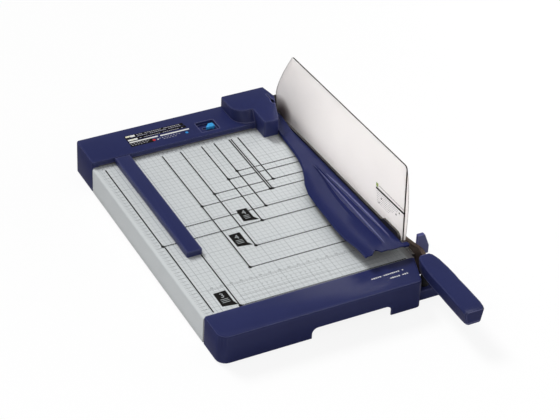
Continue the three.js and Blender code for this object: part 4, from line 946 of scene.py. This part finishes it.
# Dots as x, y and radius
WHITE_DOT = (-287.0, 19.5, 1.8)
RED_DOT = (-295.4, 20.1, 3.4)
BLUE_DOT = (-223.5, 18.5, 3.2)


def print_broken_row(pale, y, left, right, width):
    """Short bars in a row, with an uneven rhythm of gaps."""
    for place in range(int((right - left) / BROKEN_STEP)):
        x = left + BROKEN_STEP * place
        if (place * BROKEN_TURN + int(y)) % BROKEN_EVERY:
            pale.across(y, x, x + BROKEN_STEP * BROKEN_SHARE, width)


def print_dash_row(pale, y, left, right):
    for place in range(int((right - left) / DASH_ROW_STEP)):
        x = left + DASH_ROW_STEP * place
        pale.across(y, x, x + DASH_ROW_STEP * DASH_ROW_SHARE, DASH_ROW)


def print_head():
    base = HEAD_TOP + PRINT_BASE
    top = HEAD_TOP + LINE_TOP
    black = Print(base, base + STACK)
    cream = Print(base, top)
    white = Print(base, top)
    pale = Print(base, top)
    red = Print(base, top)
    blue = Print(base, top)
    for box in BACKING_BOXES:
        black.bar(*box)
    cream.bar(*CREAM_BOX)
    cream.bar(*CREAM_BOX_ON_WHITE, STACK)
    for box in WHITE_BOXES:
        white.bar(*box)
    for row in BROKEN_ROWS:
        print_broken_row(pale, *row)
    for row in STRIPES:
        white.across(*row, STRIPE)
    for row in DASH_ROWS:
        print_dash_row(pale, *row)
    white.dot(*WHITE_DOT)
    red.dot(*RED_DOT)
    blue.dot(*BLUE_DOT)
    black.make("head_label_backing", "black_ink", "base")
    cream.make("head_label_boxes", "cream_ink", "base")
    white.make("head_label_stripes", "white_ink", "base")
    pale.make("head_label_rows", "pale_ink", "base")
    red.make("head_label_red_dot", "red_ink", "base")
    blue.make("head_label_blue_dot", "blue_ink", "base")


# Plain marks on the guard: bars from start to end with a width, spots, a square and rows
GUARD_BARS = (((-386.8, 81.8), (-495.0, 89.4), 4.4), ((-398.2, 91.8), (-491.1, 96.4), 0.9))
GUARD_SPOTS = ((-409.4, 68.7), (-402.4, 55.4), (-465.8, 69.7), (-476.7, 79.6))
GUARD_SPOT_RADIUS = 2.0
GUARD_SPOT_SIDES = 8

# The square's rear, bottom, front and top; rear and front are counted forward, against y
GUARD_SQUARE = (386.5, 86.0, 394.5, 94.0)

# The first row's place forward, its height and its length, each with its change to the next row
GUARD_ROW_COUNT = 6
GUARD_ROW_FORWARD = (391.0, 1.0)
GUARD_ROW_HEIGHT = (76.5, -4.6)
GUARD_ROW_LENGTH = (88.0, -8.0)
GUARD_ROW_STEP = 5.2
GUARD_ROW_SHARE = 0.45
GUARD_ROW_HALF = 0.6
GUARD_ROW_SLOPE = 0.06


def on_sheet(forward, z, out):
    """A point beside the guard's left face; forward runs against y."""
    return at(SHEET_LEFT - out, -forward, z)


def evenly(start_and_change, step):
    start, change = start_and_change
    return start + change * step


def print_guard():
    black = Print(PRINT_BASE, LINE_TOP, on_sheet)
    for (y, z), (end_y, end_z), width in GUARD_BARS:
        half = width / 2
        black.slab([(-y, z - half), (-end_y, end_z - half), (-end_y, end_z + half), (-y, z + half)])
    for y, z in GUARD_SPOTS:
        black.dot(-y, z, GUARD_SPOT_RADIUS, sides=GUARD_SPOT_SIDES)
    lime = Print(PRINT_BASE, LINE_TOP, on_sheet)
    lime.bar(*GUARD_SQUARE)
    rows = Print(PRINT_BASE, LINE_TOP, on_sheet)
    for row in range(GUARD_ROW_COUNT):
        start = evenly(GUARD_ROW_FORWARD, row)
        for place in range(int(evenly(GUARD_ROW_LENGTH, row) / GUARD_ROW_STEP)):
            past = GUARD_ROW_STEP * place
            forward = start + past
            z = evenly(GUARD_ROW_HEIGHT, row) + GUARD_ROW_SLOPE * past
            end = forward + GUARD_ROW_STEP * GUARD_ROW_SHARE
            rows.bar(forward, z - GUARD_ROW_HALF, end, z + GUARD_ROW_HALF)
    black.make("guard_label_bars", "black_ink", "clamp")
    lime.make("guard_label_square", "lime_ink", "clamp")
    rows.make("guard_label_rows", "grey_ink", "clamp")


# Rows of plain bars on the front cap
CAP_STEP = 4.4
CAP_BAR_SHARE = 0.6
CAP_BAR_HALF = 1.8
CAP_TALL_SHARES = (0.7, 1.0, 0.85)
CAP_GAP_EVERY = 9
CAP_GAP_AT = 5


def between(start, end, share):
    return start + (end - start) * share


def print_cap():
    """Rows of short plain bars on the cap's slope."""
    bars = Print(PRINT_BASE, LINE_TOP)
    for ((left, y), (right, end_y)), (low, high) in zip(CAP_ROWS, cap_heights):
        count = int((right - left) / CAP_STEP)
        for place in range(count):
            if place % CAP_GAP_EVERY == CAP_GAP_AT:
                continue
            x = left + CAP_STEP * place
            end_x = x + CAP_STEP * CAP_BAR_SHARE
            row_y = between(y, end_y, place / count)
            half = CAP_BAR_HALF * CAP_TALL_SHARES[place % len(CAP_TALL_SHARES)]
            bars.bar(x, row_y - half, end_x, row_y + half, between(low, high, place / count))
    bars.make("cap_bars", "white_ink", "base")


# Studio: pale floor, soft light from above and slightly behind, bright surroundings
WHITE = (1.0, 1.0, 1.0)
SUN_FROM = Vector((-0.24, 0.68, 0.80))
SUN_ANGLE = math.radians(20.0)
SUN_POWER = 2.07
SKY_DIFFUSE = 0.27
SKY_GLOSSY = 0.16
SKY_SEEN = 1.0
FLOOR_SHADE = (0.80, 0.80, 0.80)
# The floor's colour in reflections, painted darker at the left and brighter at the right
FLOOR_GLOSS = (0.32, 0.30, 0.29)
FLOOR_GLOSS_LEFT = (0.10, 0.09, 0.09)
FLOOR_GLOSS_RIGHT = (0.95, 0.91, 0.88)
LEFT_FADE = (-0.30, -0.24)
RIGHT_FADE = (0.20, 0.26)
REAR_FADE = (-0.38, -0.32)
FLOOR_GLOW = 1.05
FLOOR_GLOW_SHARE = 0.84
FLOOR_HALF = 12.0

# Softboxes: name, place, aim, size, power, and whether only reflections show it
CUTTER_MIDDLE = (0.0, 0.0, 0.05)
SOFTBOXES = (
    ("left_box", (-1.75, 1.65, 0.95), CUTTER_MIDDLE, (0.6, 0.9), 3.2, True),
    ("end_box", (1.2, -1.8, 1.8), CUTTER_MIDDLE, (0.7, 0.7), 4.0, True),
    ("top_box", (0.80, -0.33, 1.90), CUTTER_MIDDLE, (0.5, 0.5), 3.5, True),
    ("front_box", (-0.80, -1.25, 1.1), (-0.1, -0.1, 0.05), (1.0, 1.0), 4.3, False),
    ("side_box", (1.5, 0.0, 0.42), (0.19, 0.0, 0.14), (1.6, 0.5), 5.0, False),
)


def facing_turn(direction):
    return direction.to_track_quat("Z", "Y").to_euler()


def make_sun():
    data = bpy.data.lights.new("sun", "SUN")
    data.energy = SUN_POWER
    data.angle = SUN_ANGLE
    sun = bpy.data.objects.new("sun", data)
    sun.rotation_euler = facing_turn(SUN_FROM)
    sun.visible_glossy = False
    scene.collection.objects.link(sun)


def make_softbox(name, place, aim, size, power, glint):
    data = bpy.data.lights.new(name, "AREA")
    data.shape = "RECTANGLE"
    data.size, data.size_y = size
    data.energy = power
    box = bpy.data.objects.new(name, data)
    box.location = place
    box.rotation_euler = facing_turn(Vector(place) - Vector(aim))
    box.visible_diffuse = not glint
    scene.collection.objects.link(box)


def straight_rays(tree, rays):
    """One where the camera sees a surface, also through the clear guard."""
    return math_node(tree, "MAXIMUM", rays["Is Camera Ray"], rays["Is Transmission Ray"])


def sky(tree, strength):
    inputs = {"Color": rgba(WHITE), "Strength": strength}
    return add(tree, "ShaderNodeBackground", inputs).outputs[0]


def make_world():
    world = bpy.data.worlds.new("studio")
    world.use_nodes = True
    scene.world = world
    tree = world.node_tree
    tree.nodes.clear()
    rays = add(tree, "ShaderNodeLightPath").outputs
    dim = sky(tree, SKY_DIFFUSE)
    lit = mix_shaders(tree, rays["Is Glossy Ray"], dim, sky(tree, SKY_GLOSSY))
    both = mix_shaders(tree, straight_rays(tree, rays), lit, sky(tree, SKY_SEEN))
    add(tree, "ShaderNodeOutputWorld", {"Surface": both})


def floor_gloss(tree):
    """Painted reflection: the floor's colour in reflections, darker at the left and brighter at the
    right.
    """
    place = add(tree, "ShaderNodeSeparateXYZ", {0: object_points(tree)}).outputs
    past_left = spread(tree, place["X"], 0.0, 1.0, *LEFT_FADE)
    past_right = spread(tree, place["X"], 0.0, 1.0, *RIGHT_FADE)
    behind = spread(tree, place["Y"], 0.0, 1.0, *REAR_FADE)
    bright = math_node(tree, "MULTIPLY", past_right, behind)
    gloss = mix_colours(tree, past_left, rgba(FLOOR_GLOSS_LEFT), rgba(FLOOR_GLOSS))
    return mix_colours(tree, bright, gloss, rgba(FLOOR_GLOSS_RIGHT))


def floor_material():
    material = empty_material("floor")
    tree = material.node_tree
    rays = add(tree, "ShaderNodeLightPath").outputs
    shade = mix_colours(tree, rays["Is Glossy Ray"], rgba(FLOOR_SHADE), floor_gloss(tree))
    matt = add(tree, "ShaderNodeBsdfDiffuse", {"Color": shade}).outputs[0]
    inputs = {"Color": rgba(WHITE), "Strength": FLOOR_GLOW}
    glow = add(tree, "ShaderNodeEmission", inputs).outputs[0]
    share = math_node(tree, "MULTIPLY", straight_rays(tree, rays), FLOOR_GLOW_SHARE)
    surface = mix_shaders(tree, share, matt, glow)
    add(tree, "ShaderNodeOutputMaterial", {"Surface": surface})
    return material


def make_floor():
    mesh = bpy.data.meshes.new("floor")
    corners = [(-1, -1), (1, -1), (1, 1), (-1, 1)]
    places = [(x * FLOOR_HALF, y * FLOOR_HALF, 0.0) for x, y in corners]
    mesh.from_pydata(places, [], [(0, 1, 2, 3)])
    mesh.materials.append(floor_material())
    floor = bpy.data.objects.new("floor", mesh)
    scene.collection.objects.link(floor)


for part in frame["record"]["subparts"]:
    finish = SPECIAL_FINISHES.get(part["node"], part["material_slot"])
    dress(nodes[part["node"]], finish)

for place, path in enumerate(ridge_paths):
    make_ridge(f"clamp_ridge_{place + 1}", path)

print_grid()
print_cap()
print_guard()
print_sizes()
print_scales()
print_tags()
print_head()

make_camera()
make_world()
make_floor()
make_sun()
for softbox in SOFTBOXES:
    make_softbox(*softbox)
